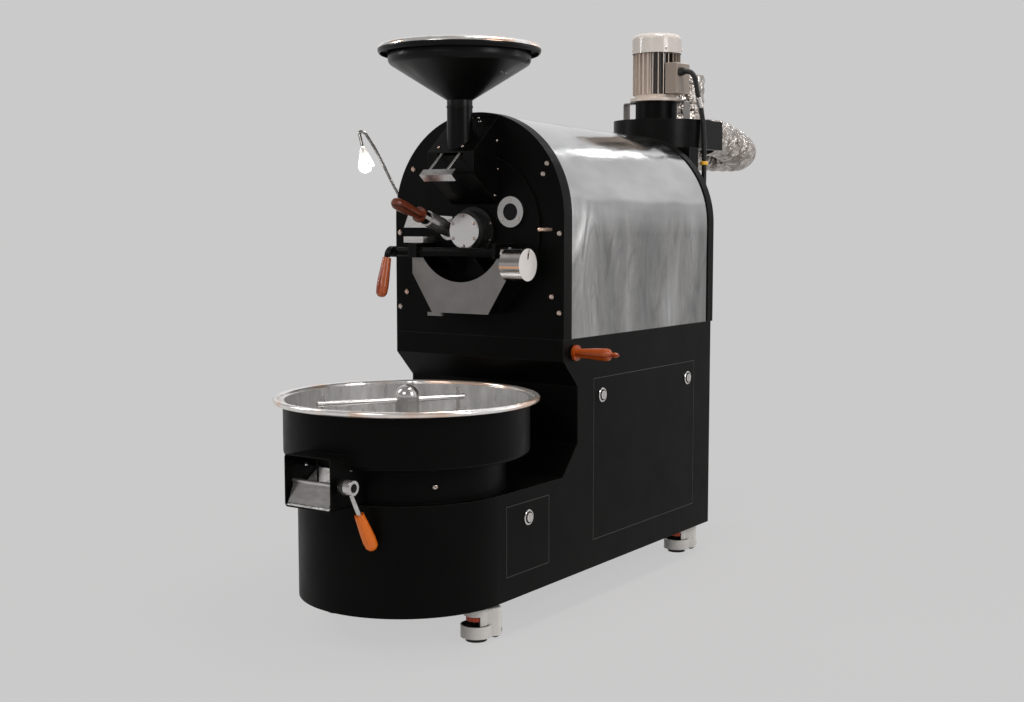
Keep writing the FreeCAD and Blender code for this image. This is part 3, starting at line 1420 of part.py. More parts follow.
def blower():
    outer = volute_face(0, blower_low).extrude(Z_AXIS * (blower_high - blower_low))
    inner = volute_face(sheet, blower_low + sheet)
    inner = inner.extrude(Z_AXIS * (blower_high - blower_low - 2 * sheet))
    rear = blower_y + outlet_rear
    height = (blower_low + blower_high) / 2
    spigot = rod(spigot_radius - sheet / 2, (spigot_x, rear - sheet, height),
                 (spigot_x, rear + spigot_length, height))
    housing = fused([outer, spigot]).cut(inner)
    housing = housing.cut(rod(spigot_radius - 1.5 * sheet, (spigot_x, rear - 3 * sheet, height),
                              (spigot_x, rear + spigot_length + overrun, height)))
    housing = housing.cut(rod(inlet_radius, (0, blower_y, blower_low - overrun),
                              (0, blower_y, blower_low + sheet + overrun)))
    housing = housing.cut(rod(shaft_hole, (0, blower_y, blower_high - overrun),
                              (0, blower_y, blower_high + overrun)))
    save("blower_housing", [housing])

    back = Part.makeCylinder(impeller_radius, sheet, V(0, blower_y, impeller_back - sheet))
    hub = Part.makeCylinder(impeller_hub, impeller_blade / 2 + sheet,
                            V(0, blower_y, impeller_back - impeller_blade / 2 - sheet))
    shaft = Part.makeCylinder(blower_shaft, shield_top - impeller_back + impeller_blade / 2,
                              V(0, blower_y, impeller_back - impeller_blade / 2))
    parts = [back, hub, shaft]
    for i in range(blade_count):
        blade = block(impeller_radius / 2, impeller_radius - sheet, -sheet / 2, sheet / 2,
                      impeller_back - impeller_blade - sheet, impeller_back - sheet / 2)
        blade.rotate(V(impeller_radius / 2, 0, 0), Z_AXIS, -blade_count * 2)
        blade.rotate(V(0, 0, 0), Z_AXIS, 360 * i / blade_count)
        blade.translate(V(0, blower_y, 0))
        parts.append(blade)
    save("blower_impeller", [fused(parts)])


def blower_stand():
    low = rear_arch_rear
    posts = []
    for x0 in (post_left, post_small_left):
        x1 = x0 + post_width
        front = low + post_front
        post = block(x0, x1, front, front + post_width, post_foot, blower_low)
        post = post.cut(block(x0 + post_wall, x1 - post_wall, front + post_wall,
                              front + post_width - post_wall, post_foot - overrun,
                              blower_low + overrun))
        arm = block(x0, x1, low, front + post_wall / 2, post_foot, post_foot + post_arm)
        posts.append(fused([post, arm]))
    plenum = block(-plenum_half, plenum_half, low, plenum_rear, plenum_low, blower_low)
    plenum = plenum.cut(block(-plenum_half + sheet, plenum_half - sheet, low + sheet,
                              plenum_rear - sheet, plenum_low + sheet, blower_low - sheet))
    flue_z = drum_height + flue_drop
    plenum = plenum.cut(rod(flue_radius - flue_sheet, (0, low - overrun, flue_z),
                            (0, low + 2 * overrun, flue_z)))
    plenum = plenum.cut(rod(inlet_radius, (0, blower_y, blower_low - 2 * overrun),
                            (0, blower_y, blower_low + overrun)))

    hub = pipe(stand_hub, stand_hub - stand_sheet, (0, blower_y, blower_high),
               (0, blower_y, motor_foot - stand_sheet))
    slot = block(-stand_slot / 2, stand_slot / 2, blower_y, blower_y + 2 * stand_hub,
                 blower_high + stand_slot_inset, motor_foot - stand_slot_inset)
    hub = hub.cut(slot)
    line = [(-stand_reach, blower_high), (-stand_reach, motor_foot), (stand_reach, motor_foot),
            (stand_reach, blower_high)]
    strap = prism_y(folded(line, -stand_sheet), blower_y - stand_depth / 2,
                    blower_y + stand_depth / 2)
    folds = [e for e in strap.Edges if e.BoundBox.YLength > stand_depth - fit
             and e.BoundBox.ZMin > motor_foot - fit]
    strap = strap.makeFillet(stand_round, folds)
    hub = fused([hub, strap])
    hub = hub.cut(rod(shaft_hole, (0, blower_y, blower_high), (0, blower_y, motor_foot + overrun)))
    save("blower_stand", posts + [plenum, hub])


def cable_gland():
    nut = rod(gland_radius, (box_right, gland_y, gland_z),
              (box_right + gland_nut, gland_y, gland_z))
    cap = rod(gland_radius - sheet, (box_right, gland_y, gland_z),
              (box_right + gland_length, gland_y, gland_z))
    return fused([nut, cap])


def fan_motor():
    flange = Part.makeCylinder(motor_flange, motor_flange_height, V(0, blower_y, motor_foot))
    shield = turned([(0, motor_foot + motor_flange_height), (motor_flange - 3 * sheet,
                     motor_foot + motor_flange_height),
                     (shield_radius, shield_top - 4 * sheet), (shield_radius, shield_top),
                     (0, shield_top)], 0, blower_y)
    body = Part.makeCylinder(body_radius, body_top - shield_top, V(0, blower_y, shield_top))
    fins = []
    for i in range(fin_count):
        fin = block(body_radius - sheet, body_radius + fin_height, -fin_sheet / 2, fin_sheet / 2,
                    shield_top, body_top - fin_height)
        fin.rotate(V(0, 0, 0), Z_AXIS, 360 * (i + 0.5) / fin_count)
        fin.translate(V(0, blower_y, 0))
        fins.append(fin)
    motor = fused([flange, shield])
    frame = fused([body] + fins)
    bore = rod(blower_shaft + fit, (0, blower_y, motor_foot - overrun),
               (0, blower_y, shield_top + fit))
    box = block(body_radius - 2 * sheet, box_right, box_middle - box_half, box_middle + box_half,
                box_low, box_high)
    box_edges = [e for e in box.Edges if e.BoundBox.XMin > box_right - fit
                 or e.BoundBox.XLength > box_half / 2]
    box = box.makeFillet(2 * sheet, box_edges)
    room = block(body_radius - 2 * sheet - gap, box_right, box_middle - box_half - gap,
                 box_middle + box_half + gap, box_low - gap, box_high + gap)
    core = Part.makeCylinder(body_radius, body_top - shield_top, V(0, blower_y, shield_top))
    frame = frame.cut(room.cut(core))

    inner = Part.makeCylinder(cowl_radius - cowl_sheet, cowl_top - cowl_sheet - body_top
                              + cowl_overlap + overrun, V(0, blower_y, body_top - cowl_overlap
                                                          - overrun))
    edges = [e for e in inner.Edges if abs(e.BoundBox.ZMin - cowl_top + cowl_sheet) < fit]
    inner = inner.makeFillet(cowl_round - cowl_sheet, edges)
    outer = Part.makeCylinder(cowl_radius, cowl_top - body_top + cowl_overlap,
                              V(0, blower_y, body_top - cowl_overlap))
    edges = [e for e in outer.Edges if abs(e.BoundBox.ZMin - cowl_top) < fit]
    outer = outer.makeFillet(cowl_round, edges)
    ring = pipe(cowl_radius - cowl_sheet / 2, body_radius, (0, blower_y, body_top - cowl_sheet),
                (0, blower_y, body_top))
    cowl = fused([outer.cut(inner), ring])
    save("fan_motor", [motor.cut(bore), frame, box.cut(core), cable_gland(), cowl])


# Tubes along a route: straight runs joined by tangent arcs
run_share = 0.45
duct_run_share = 0.5


def route_wire(points, share, largest=None):
    points = [V(*p) for p in points]
    edges, radii = [], []
    last = points[0]
    for i in range(1, len(points) - 1):
        before, after = points[i - 1] - points[i], points[i + 1] - points[i]
        half_turn = (math.pi - before.getAngle(after)) / 2
        reach = share * min(before.Length, after.Length)
        if largest:
            reach = min(reach, largest * math.tan(half_turn))
        radii.append(reach / math.tan(half_turn))
        before.normalize()
        after.normalize()
        start, end = points[i] + before * reach, points[i] + after * reach
        middle = (before + after).normalize()
        sagitta = radii[-1] / math.cos(half_turn) - radii[-1]
        if (start - last).Length > fit:
            edges.append(Part.LineSegment(last, start).toShape())
        edges.append(Part.Arc(start, points[i] + middle * sagitta, end).toShape())
        last = end
    edges.append(Part.LineSegment(last, points[-1]).toShape())
    return Part.Wire(edges), radii


def route_tube(name, points, radius):
    wire, radii = route_wire(points, run_share)
    start, ahead = V(*points[0]), V(*points[1]) - V(*points[0])
    circle = Part.Wire([Part.Circle(start, ahead, radius).toShape()])
    tube = wire.makePipeShell([circle], True, False)
    whole = wire.Length * math.pi * radius * radius
    print(name, "length", round(wire.Length), "volume share", round(tube.Volume / whole, 4),
          "radii", [round(r) for r in radii])
    return tube


def motor_cable():
    save("motor_cable", [route_tube("motor_cable", cable_route, cable_radius)])


def duct_ring(place, ahead, side, radius):
    ring = Part.Wire([Part.Circle(V(0, 0, 0), Z_AXIS, radius).toShape()])
    turn = FreeCAD.Matrix(side.x, ahead.cross(side).x, ahead.x, place.x,
                          side.y, ahead.cross(side).y, ahead.y, place.y,
                          side.z, ahead.cross(side).z, ahead.z, place.z,
                          0, 0, 0, 1)
    ring.Placement = FreeCAD.Placement(turn)
    return ring


def exhaust_duct():
    wire, radii = route_wire(duct_route, duct_run_share, duct_bend)
    print("exhaust_duct length", round(wire.Length), "tightest bend", round(min(radii), 1))
    rib_shares = (0.0, 0.6, 1.0, 0.6)
    steps = len(rib_shares)
    count = steps * int(wire.Length / duct_rib_pitch)
    places = wire.discretize(count + 1)
    outer, inner = [], []
    side = X_AXIS
    for i, place in enumerate(places):
        ahead = (places[min(i + 1, count)] - places[max(i - 1, 0)]).normalize()
        if i == 0:
            ahead = (V(*duct_route[1]) - V(*duct_route[0])).normalize()
        side = (side - ahead * side.dot(ahead)).normalize()
        radius = duct_radius - duct_rib * (1 - rib_shares[i % steps])
        outer.append(duct_ring(place, ahead, side, radius))
        if i % steps == 0:
            inner.append(duct_ring(place, ahead, side, radius - duct_wall))
    skin = Part.makeLoft(outer, True, True).cut(Part.makeLoft(inner, True, True))
    start = V(*duct_route[0])
    neck = pipe(duct_radius - duct_rib - duct_wall - fit, spigot_radius + fit, tuple(start),
                (start.x, start.y + duct_collar, start.z))
    save("exhaust_duct", [skin, neck])


def work_lamp():
    clamp = block(-half_width - lamp_base_reach, plate_sheet - half_width, lamp_base_y - lamp_base_half,
                  lamp_base_y + lamp_base_half, lamp_base_low, lamp_base_high)
    neck = route_tube("work_lamp neck", lamp_route, lamp_neck_radius)
    end = V(*lamp_route[-1]) - Z_AXIS * lamp_gap
    shade = turned_along([(0, 0), (0, lamp_top), (lamp_length, lamp_mouth), (lamp_length, 0)],
                         tuple(end), (end.x, end.y, end.z - lamp_length))
    shade.rotate(end, Y_AXIS, -lamp_tilt_x)
    lens = turned_along([(lamp_length, 0), (lamp_length, lamp_mouth - 1.5 * sheet),
                         (lamp_length + lamp_lens, lamp_mouth - 4 * sheet),
                         (lamp_length + lamp_lens, 0)],
                        tuple(end), (end.x, end.y, end.z - lamp_length))
    lens.rotate(end, Y_AXIS, -lamp_tilt_x)
    save("work_lamp", [clamp, neck, shade, lens])


# Button bolts: rim of the front plate, bearing cover, flange and sight ring
def bolts():
    heads = []

    def head(radius, height, x, y, z):
        cap = Part.makeCylinder(radius, height, V(x, y, z), V(0, -1, 0))
        edge = [e for e in cap.Edges if abs(e.BoundBox.YMin - y + height) < fit]
        heads.append(cap.makeChamfer(height / 2, edge))

    rim = half_width - 2 * bolt_head
    for side in (-1, 1):
        for drop in (rim_bolt_low_drop, rim_bolt_high_drop):
            head(bolt_head, bolt_height, side * rim, 0, barrel_centre - drop)
        head(bolt_head, bolt_height, side * (rim - inner_bolt_inset), 0,
             barrel_centre - inner_bolt_drop)
    for reach, angle in ((rim, rim_bolt_angle), (rim - inner_bolt_inset, inner_bolt_angle),
                         (rim - inner_bolt_inset / 2, 180 - rim_bolt_angle)):
        a = math.radians(angle)
        head(bolt_head, bolt_height, reach * math.cos(a), 0, barrel_centre + reach * math.sin(a))
    for i in range(6):
        a = math.radians(60 * i + 30)
        reach = cover_radius - 2 * small_bolt
        head(small_bolt, small_bolt_height, reach * math.cos(a), cover_front,
             drum_height + reach * math.sin(a))
    for angle in (-25, 20, 205):
        a = math.radians(angle)
        reach = bearing_flange - small_bolt - sheet / 2
        head(small_bolt, small_bolt_height, reach * math.cos(a),
             -face_disc_proud - bearing_flange_depth, drum_height + reach * math.sin(a))
    for angle in (90, 215, 325):
        a = math.radians(angle)
        reach = (sight_outer + sight_window) / 2
        head(small_bolt, small_bolt_height / 2, sight_x + reach * math.cos(a),
             -face_disc_proud - sight_depth, sight_z + reach * math.sin(a))
    save("button_bolts", heads)


# Levelling casters: swivelling housing, wheel behind it, and a foot on its screw
def upright(radius, low, high):
    return Part.makeCylinder(radius, high - low, V(0, 0, low))


def caster(name, cx, cy):
    half = caster_tail_half
    ring = upright(caster_ring, caster_ring_low, caster_ring_high)
    tail = block(0, caster_tail, -half, half, caster_ring_low, caster_top)
    corners = [e for e in tail.Edges if e.BoundBox.XMin > caster_tail - fit
               and e.BoundBox.ZLength > half]
    tail = tail.makeFillet(caster_tail_round, corners)
    crown = [e for e in tail.Edges if e.BoundBox.ZMin > caster_top - fit
             and e.BoundBox.XMax > caster_tail_round]
    tail = tail.makeFillet(caster_top_round, crown)
    housing = fused([ring, tail, upright(caster_neck, caster_ring_high, caster_top),
                     upright(caster_plate, caster_top, base_bottom - gap)])

    # The foot's room, its windows at the front and above the wheel, and the wheel's room
    housing = housing.cut(upright(caster_ring - caster_wall, caster_ring_low - overrun,
                                  caster_ring_high))
    housing = housing.cut(upright(caster_neck - caster_wall, caster_ring_high, caster_room_top))
    windows = [block(-2 * caster_ring, 0, -caster_ring, caster_ring, caster_ring_high,
                     caster_window_top),
               block(0, caster_tail + overrun, -caster_window_half, caster_window_half,
                     caster_ring_high + sheet, caster_window_top)]
    housing = housing.cut(Part.makeCompound(windows[:1])).cut(windows[1])
    wheel_z = wheel_rise + wheel_radius
    room = wheel_width / 2 + wheel_room / 2
    reach = wheel_radius + wheel_room
    arch_room = rod(reach, (wheel_offset, -room, wheel_z), (wheel_offset, room, wheel_z))
    slot = block(wheel_offset - reach, caster_tail + overrun, -room, room, 0, wheel_z)
    housing = housing.cut(arch_room).cut(slot)
    axle = rod(axle_radius, (wheel_offset, -half, wheel_z), (wheel_offset, half, wheel_z))
    housing = housing.fuse(axle)
    housing = housing.cut(upright(foot_stem + fit, 0, foot_stem_top + thumb_travel + gap))

    wheel = rod(wheel_radius, (wheel_offset, -wheel_width / 2, wheel_z),
                (wheel_offset, wheel_width / 2, wheel_z))
    wheel = wheel.makeChamfer(sheet, wheel.Edges)
    wheel = wheel.cut(rod(axle_radius + fit, (wheel_offset, -half, wheel_z),
                          (wheel_offset, half, wheel_z)))

    pad = upright(pad_radius, 0, pad_height)
    thumb = upright(thumb_radius, thumb_low, thumb_low + thumb_height)
    notches = []
    for i in range(notch_count):
        notch = Part.makeCylinder(thumb_notch, thumb_height + 2 * overrun,
                                  V(thumb_radius, 0, thumb_low - overrun))
        notch.rotate(V(0, 0, 0), Z_AXIS, 360 * i / notch_count)
        notches.append(notch)
    thumb = thumb.cut(Part.makeCompound(notches))
    foot = fused([pad, upright(foot_stem, 0, foot_stem_top), thumb])
    for part, shape in (("housing", housing.removeSplitter()), ("wheel", wheel), ("foot", foot)):
        shape.rotate(V(0, 0, 0), Z_AXIS, caster_turn)
        shape.translate(V(cx, cy, 0))
        save(name + "_" + part, [shape])


cabinet_wrap()
floor_and_back()
tray_deck()
panels()
latch("side_latch_front", side_latch_front, side_latch_z, 0)
latch("side_latch_rear", side_latch_rear, side_latch_z, 0)
latch("base_latch", base_latch_y, base_latch_z, 90)
front_plates()
shroud_and_rear()
drum()
casing()
heaters()
bearings()
gearmotors()
sight_glass()
feed_box()
hopper()
feed_gate()
discharge_chute()
door()
tryer()
damper()
tray()
tray_screen()
tray_gate()
stirrer()
cooling_fan()
blower()
blower_stand()
fan_motor()
motor_cable()
exhaust_duct()
work_lamp()
bolts()
caster("caster_front_left", -caster_front_x, caster_front_y)
caster("caster_front_right", caster_front_x, caster_front_y)
caster("caster_rear_left", -caster_rear_x, caster_rear_y)
caster("caster_rear_right", caster_rear_x, caster_rear_y)
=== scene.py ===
"""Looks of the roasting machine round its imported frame: camera, cable, stage, lamps and materials."""

import json
import math

import bmesh
import bpy
from mathutils import Matrix, Vector


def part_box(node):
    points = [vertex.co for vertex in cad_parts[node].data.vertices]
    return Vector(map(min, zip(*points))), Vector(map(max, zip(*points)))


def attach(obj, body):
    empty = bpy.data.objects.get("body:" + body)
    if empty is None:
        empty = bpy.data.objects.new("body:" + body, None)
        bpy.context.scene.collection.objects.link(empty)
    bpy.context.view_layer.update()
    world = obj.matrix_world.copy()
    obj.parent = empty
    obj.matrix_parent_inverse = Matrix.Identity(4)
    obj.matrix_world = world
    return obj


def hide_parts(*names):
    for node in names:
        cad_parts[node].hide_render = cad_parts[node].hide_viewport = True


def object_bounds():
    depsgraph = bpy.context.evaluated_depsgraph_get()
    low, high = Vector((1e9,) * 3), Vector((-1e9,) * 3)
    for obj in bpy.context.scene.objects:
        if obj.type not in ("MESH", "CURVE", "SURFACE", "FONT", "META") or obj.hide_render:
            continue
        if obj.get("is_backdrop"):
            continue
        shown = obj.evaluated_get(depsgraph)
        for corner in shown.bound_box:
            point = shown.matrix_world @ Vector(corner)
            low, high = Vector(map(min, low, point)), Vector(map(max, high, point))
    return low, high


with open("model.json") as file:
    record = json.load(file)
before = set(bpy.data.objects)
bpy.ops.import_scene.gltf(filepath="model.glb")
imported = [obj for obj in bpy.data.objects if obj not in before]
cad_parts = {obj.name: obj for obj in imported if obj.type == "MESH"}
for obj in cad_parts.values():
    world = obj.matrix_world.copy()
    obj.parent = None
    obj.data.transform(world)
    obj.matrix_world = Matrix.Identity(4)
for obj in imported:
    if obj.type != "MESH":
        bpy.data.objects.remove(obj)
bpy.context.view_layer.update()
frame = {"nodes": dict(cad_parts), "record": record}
NODES = frame["nodes"]

# The CAD source measures from the machine's front plate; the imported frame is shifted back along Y.
SHEET_GAP = 0.003
SHIFT = SHEET_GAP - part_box("shroud")[0].y


def at(x, y, z):
    """A point given in the source's millimetres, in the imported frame's metres."""
    return Vector((x / 1000, y / 1000 - SHIFT, z / 1000))


# camera

camera = bpy.data.objects.new("camera", bpy.data.cameras.new("camera"))
bpy.context.scene.collection.objects.link(camera)
right = Vector((0.8265, 0.5630, 0.0))
ahead = Vector((-0.5606, 0.8229, -0.0929)).normalized()
right = (right - ahead * right.dot(ahead)).normalized()
above = right.cross(ahead)
turned = Matrix((right, above, -ahead)).transposed().to_4x4()
camera.matrix_world = Matrix.Translation(at(2032, -2825, 961)) @ turned
camera.data.sensor_width = 36
camera.data.lens = 48.43
camera.data.clip_end = 60
bpy.context.scene.camera = camera
bpy.context.scene.view_settings.view_transform = "Standard"


# small mesh helpers

def put(name, mesh, body, material, smooth=True):
    piece = bpy.data.objects.new(name, mesh)
    bpy.context.scene.collection.objects.link(piece)
    mesh.materials.append(material)
    for face in mesh.polygons:
        face.use_smooth = smooth
    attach(piece, body)
    return piece


def mesh_of(name, points, faces):
    mesh = bpy.data.meshes.new(name)
    mesh.from_pydata([tuple(p) for p in points], [], faces)
    mesh.update()
    return mesh


def frames_along(path):
    """A steady pair of side directions at each point of a path."""
    out, side = [], None
    for i, p in enumerate(path):
        a, b = path[max(i - 1, 0)], path[min(i + 1, len(path) - 1)]
        d = (b - a).normalized()
        if side is None:
            side = d.orthogonal().normalized()
        side = (side - d * side.dot(d)).normalized()
        out.append((side, d.cross(side)))
    return out


def tube(name, path, radius, sides=24):
    """A tube along a path; radius(i, turn) gives each point's distance from it."""
    points, faces = [], []
    for i, (p, (u, v)) in enumerate(zip(path, frames_along(path))):
        for k in range(sides):
            a = 2 * math.pi * k / sides
            points.append(p + (u * math.cos(a) + v * math.sin(a)) * radius(i, a))
    for i in range(len(path) - 1):
        for k in range(sides):
            m = (k + 1) % sides
            faces.append((i * sides + k, i * sides + m, (i + 1) * sides + m, (i + 1) * sides + k))
    faces.append(tuple(range(sides))[::-1])
    faces.append(tuple((len(path) - 1) * sides + k for k in range(sides)))
    return mesh_of(name, points, faces)


def lathe(name, profile, place, sides=48):
    """A turned form: profile is (radius, height) pairs, place carries local Z to where it stands."""
    points, faces = [], []
    for r, h in profile:
        for k in range(sides):
            a = 2 * math.pi * k / sides
            points.append(place @ Vector((r * math.cos(a), r * math.sin(a), h)))
    for i in range(len(profile) - 1):
        for k in range(sides):
            m = (k + 1) % sides
            faces.append((i * sides + k, i * sides + m, (i + 1) * sides + m, (i + 1) * sides + k))
    if profile[0][0] > 0:
        faces.append(tuple(range(sides))[::-1])
    if profile[-1][0] > 0:
        faces.append(tuple((len(profile) - 1) * sides + k for k in range(sides)))
    mesh = mesh_of(name, points, faces)
    work = bmesh.new()
    work.from_mesh(mesh)
    bmesh.ops.remove_doubles(work, verts=work.verts, dist=1e-6)
    bmesh.ops.recalc_face_normals(work, faces=work.faces)
    work.to_mesh(mesh)
    work.free()
    return mesh


def facing(point, direction):
    """The matrix that stands a local form at point with its Z along direction."""
    z = Vector(direction).normalized()
    x = Vector((0, 0, 1)).cross(z)
    x = x.normalized() if x.length > 1e-4 else z.orthogonal().normalized()
    y = z.cross(x)
    return Matrix.Translation(point) @ Matrix((x, y, z)).transposed().to_4x4()


# material helpers

def link(tree, source, target):
    tree.links.new(source, target)


def new_material(name, colour, roughness, metallic=0.0, **fixed):
    material = bpy.data.materials.new(name)
    material.use_nodes = True
    shader = material.node_tree.nodes["Principled BSDF"]
    shader.inputs["Base Color"].default_value = (*colour, 1)
    shader.inputs["Roughness"].default_value = roughness
    shader.inputs["Metallic"].default_value = metallic
    for socket, value in fixed.items():
        shader.inputs[socket.replace("_", " ")].default_value = value
    return material, material.node_tree, shader


def mapped(tree, stretch=(1, 1, 1), turn=(0, 0, 0)):
    coordinates = tree.nodes.new("ShaderNodeTexCoord")
    mapping = tree.nodes.new("ShaderNodeMapping")
    mapping.inputs["Scale"].default_value = stretch
    mapping.inputs["Rotation"].default_value = turn
    link(tree, coordinates.outputs["Object"], mapping.inputs["Vector"])
    return mapping.outputs["Vector"]


def grain(tree, vector, scale, detail=3.0, rough=0.5, distortion=0.0):
    texture = tree.nodes.new("ShaderNodeTexNoise")
    values = {"Scale": scale, "Detail": detail, "Roughness": rough, "Distortion": distortion}
    for socket, value in values.items():
        texture.inputs[socket].default_value = value
    link(tree, vector, texture.inputs["Vector"])
    return texture.outputs["Fac"]


def stops(tree, factor, *pairs):
    """A colour ramp; each pair is (position, grey or colour)."""
    ramp = tree.nodes.new("ShaderNodeValToRGB")
    elements = ramp.color_ramp.elements
    while len(elements) < len(pairs):
        elements.new(0.5)
    for element, (position, value) in zip(elements, pairs):
        element.position = position
        element.color = (*value, 1) if hasattr(value, "__len__") else (value, value, value, 1)
    link(tree, factor, ramp.inputs["Fac"])
    return ramp.outputs["Color"]


def blend(tree, factor, a, b, mode="MIX"):
    mix = tree.nodes.new("ShaderNodeMix")
    mix.data_type = "RGBA"
    mix.blend_type = mode
    for index, value in ((6, a), (7, b)):
        if isinstance(value, (tuple, list)):
            mix.inputs[index].default_value = (*value, 1)
        else:
            link(tree, value, mix.inputs[index])
    if isinstance(factor, float):
        mix.inputs[0].default_value = factor
    else:
        link(tree, factor, mix.inputs[0])
    return mix.outputs[2]


def maths(tree, operation, a, b=None):
    node = tree.nodes.new("ShaderNodeMath")
    node.operation = operation
    for index, value in ((0, a), (1, b)):
        if value is None:
            continue
        if isinstance(value, (int, float)):
            node.inputs[index].default_value = value
        else:
            link(tree, value, node.inputs[index])
    return node.outputs[0]


def relief(tree, shader, *layers):
    """Bump layers (height, depth in metres) on the shader's normal."""
    normal = None
    for height, depth in layers:
        bump = tree.nodes.new("ShaderNodeBump")
        bump.inputs["Strength"].default_value = 1.0
        bump.inputs["Distance"].default_value = depth
        link(tree, height, bump.inputs["Height"])
        if normal is not None:
            link(tree, normal, bump.inputs["Normal"])
        normal = bump.outputs["Normal"]
    link(tree, normal, shader.inputs["Normal"])


def sharp_edge_mask(tree, radius):
    """1 on sharp edges, 0 on flats: how far the rounded normal leans from the true one."""
    soft = tree.nodes.new("ShaderNodeBevel")
    soft.samples = 4
    soft.inputs["Radius"].default_value = radius
    true = tree.nodes.new("ShaderNodeNewGeometry")
    dot = tree.nodes.new("ShaderNodeVectorMath")
    dot.operation = "DOT_PRODUCT"
    link(tree, soft.outputs["Normal"], dot.inputs[0])
    link(tree, true.outputs["Normal"], dot.inputs[1])
    return stops(tree, dot.outputs["Value"], (0.80, 1.0), (0.985, 0.0))


def enamel(name, dark, light, roughness, speckle=500.0, depth=0.00002, edge_wear_and_highlight_colour=None, edge=0.0012, **fixed):
    """Painted or powder-coated metal: cloudy colour, orange peel and worn edges, lighter on the black coats
    as a painted highlight.
    """
    material, tree, shader = new_material(name, light, roughness, **fixed)
    space = mapped(tree)
    colour = stops(tree, grain(tree, space, 5.0, 4.0), (0.3, dark), (0.7, light))
    if edge_wear_and_highlight_colour:
        # Colour along sharp edges: wear, and on the black coats also a painted highlight.
        edge_wear_and_highlight_mask = maths(tree, "MULTIPLY", sharp_edge_mask(tree, edge), grain(tree, space, 60.0, 2.0))
        colour = blend(tree, edge_wear_and_highlight_mask, colour, edge_wear_and_highlight_colour)
    link(tree, colour, shader.inputs["Base Color"])
    smear = grain(tree, space, 14.0, 5.0, 0.6)
    dull = stops(tree, smear, (0.3, roughness - 0.05), (0.7, roughness + 0.07))
    link(tree, dull, shader.inputs["Roughness"])
    relief(tree, shader, (grain(tree, space, speckle, 2.0), depth))
    return material


def brushed(
    name, dark, light, roughness, stretch, painted_warm_reflection=None, painted_warm_scale=9.0, wave=0.0, wave_scale=4.0,
):
    """Brushed or polished steel: faint streaks one way, cloudy sheen, slow waves in the sheet, and painted
    warm reflections where given.
    """
    material, tree, shader = new_material(name, light, roughness, 1.0)
    along = mapped(tree, stretch)
    still = mapped(tree)
    colour = stops(tree, grain(tree, along, 30.0, 3.0, 0.5), (0.3, dark), (0.7, light))
    # Painted reflection: warm patches blended into the steel's colour.
    if painted_warm_reflection:
        painted_warm_mask = stops(tree, grain(tree, still, painted_warm_scale, 2.0, 0.5, 0.6), (0.50, 0.0), (0.62, 0.8))
        colour = blend(tree, painted_warm_mask, colour, painted_warm_reflection)
    link(tree, colour, shader.inputs["Base Color"])
    gloss = grain(tree, along, 60.0, 2.0)
    link(
        tree,
        stops(tree, gloss, (0.3, max(roughness - 0.04, 0.03)), (0.7, roughness + 0.06)),
        shader.inputs["Roughness"],
    )
    layers = [(grain(tree, along, 90.0, 2.0), 0.000006)]
    if wave:
        layers.insert(0, (grain(tree, still, wave_scale, 1.5, 0.4), wave))
    relief(tree, shader, *layers)
    return material


def main_axis(obj):
    """The longest direction of a node's points."""
    co = [v.co for v in obj.data.vertices]
    middle = sum(co, Vector()) / len(co)
    axis = Vector((0.3, 0.5, 0.8))
    for _ in range(60):
        total = Vector()
        for c in co:
            offset = c - middle
            total += offset * offset.dot(axis)
        axis = total.normalized()
    return axis


def wooden(name, axis, dark, light, seed, roughness=0.3):
    """Oiled turned wood, its grain along axis."""
    material, tree, shader = new_material(
        name, light, roughness, Coat_Weight=0.25, Coat_Roughness=0.12, Specular_IOR_Level=0.3,
    )
    turn = axis.rotation_difference(Vector((1, 0, 0))).to_euler()
    space = mapped(tree, (1, 1, 1), tuple(turn))
    shift = tree.nodes.new("ShaderNodeVectorMath")
    shift.operation = "MULTIPLY"
    shift.inputs[1].default_value = (9.0, 90.0, 90.0)
    link(tree, space, shift.inputs[0])
    moved = tree.nodes.new("ShaderNodeVectorMath")
    moved.inputs[1].default_value = (seed, seed * 2, 0)
    link(tree, shift.outputs[0], moved.inputs[0])
    rings = tree.nodes.new("ShaderNodeTexWave")
    rings.wave_type = "RINGS"
    rings.rings_direction = "X"
    for socket, value in (("Scale", 0.16), ("Distortion", 4.0), ("Detail", 2.0), ("Detail Scale", 0.6)):
        rings.inputs[socket].default_value = value
    link(tree, moved.outputs[0], rings.inputs["Vector"])
    fibres = grain(tree, moved.outputs[0], 3.0, 8.0, 0.7)
    colour = stops(tree, rings.outputs["Fac"], (0.02, dark), (0.16, light), (1.0, light))
    streaks = stops(tree, fibres, (0.35, 0.80), (0.6, 1.0))
    link(tree, blend(tree, 0.7, colour, streaks, "MULTIPLY"), shader.inputs["Base Color"])
    dull = stops(tree, fibres, (0.3, roughness + 0.1), (0.7, roughness - 0.04))
    link(tree, dull, shader.inputs["Roughness"])
    relief(tree, shader, (fibres, 0.00001))
    return material


def height_of(tree):
    """A point's height above the floor, as a shader value."""
    place = tree.nodes.new("ShaderNodeTexCoord")
    apart = tree.nodes.new("ShaderNodeSeparateXYZ")
    link(tree, place.outputs["Object"], apart.inputs[0])
    return apart.outputs["Z"]


def dress(node, *materials, pick=None):
    """A node's own materials; pick(centre, normal) gives each face's place in the list."""
    data = NODES[node].data
    data.materials.clear()
    for material in materials:
        data.materials.append(material)
    for face in data.polygons:
        face.material_index = pick(face.center, face.normal) if pick else 0


# materials

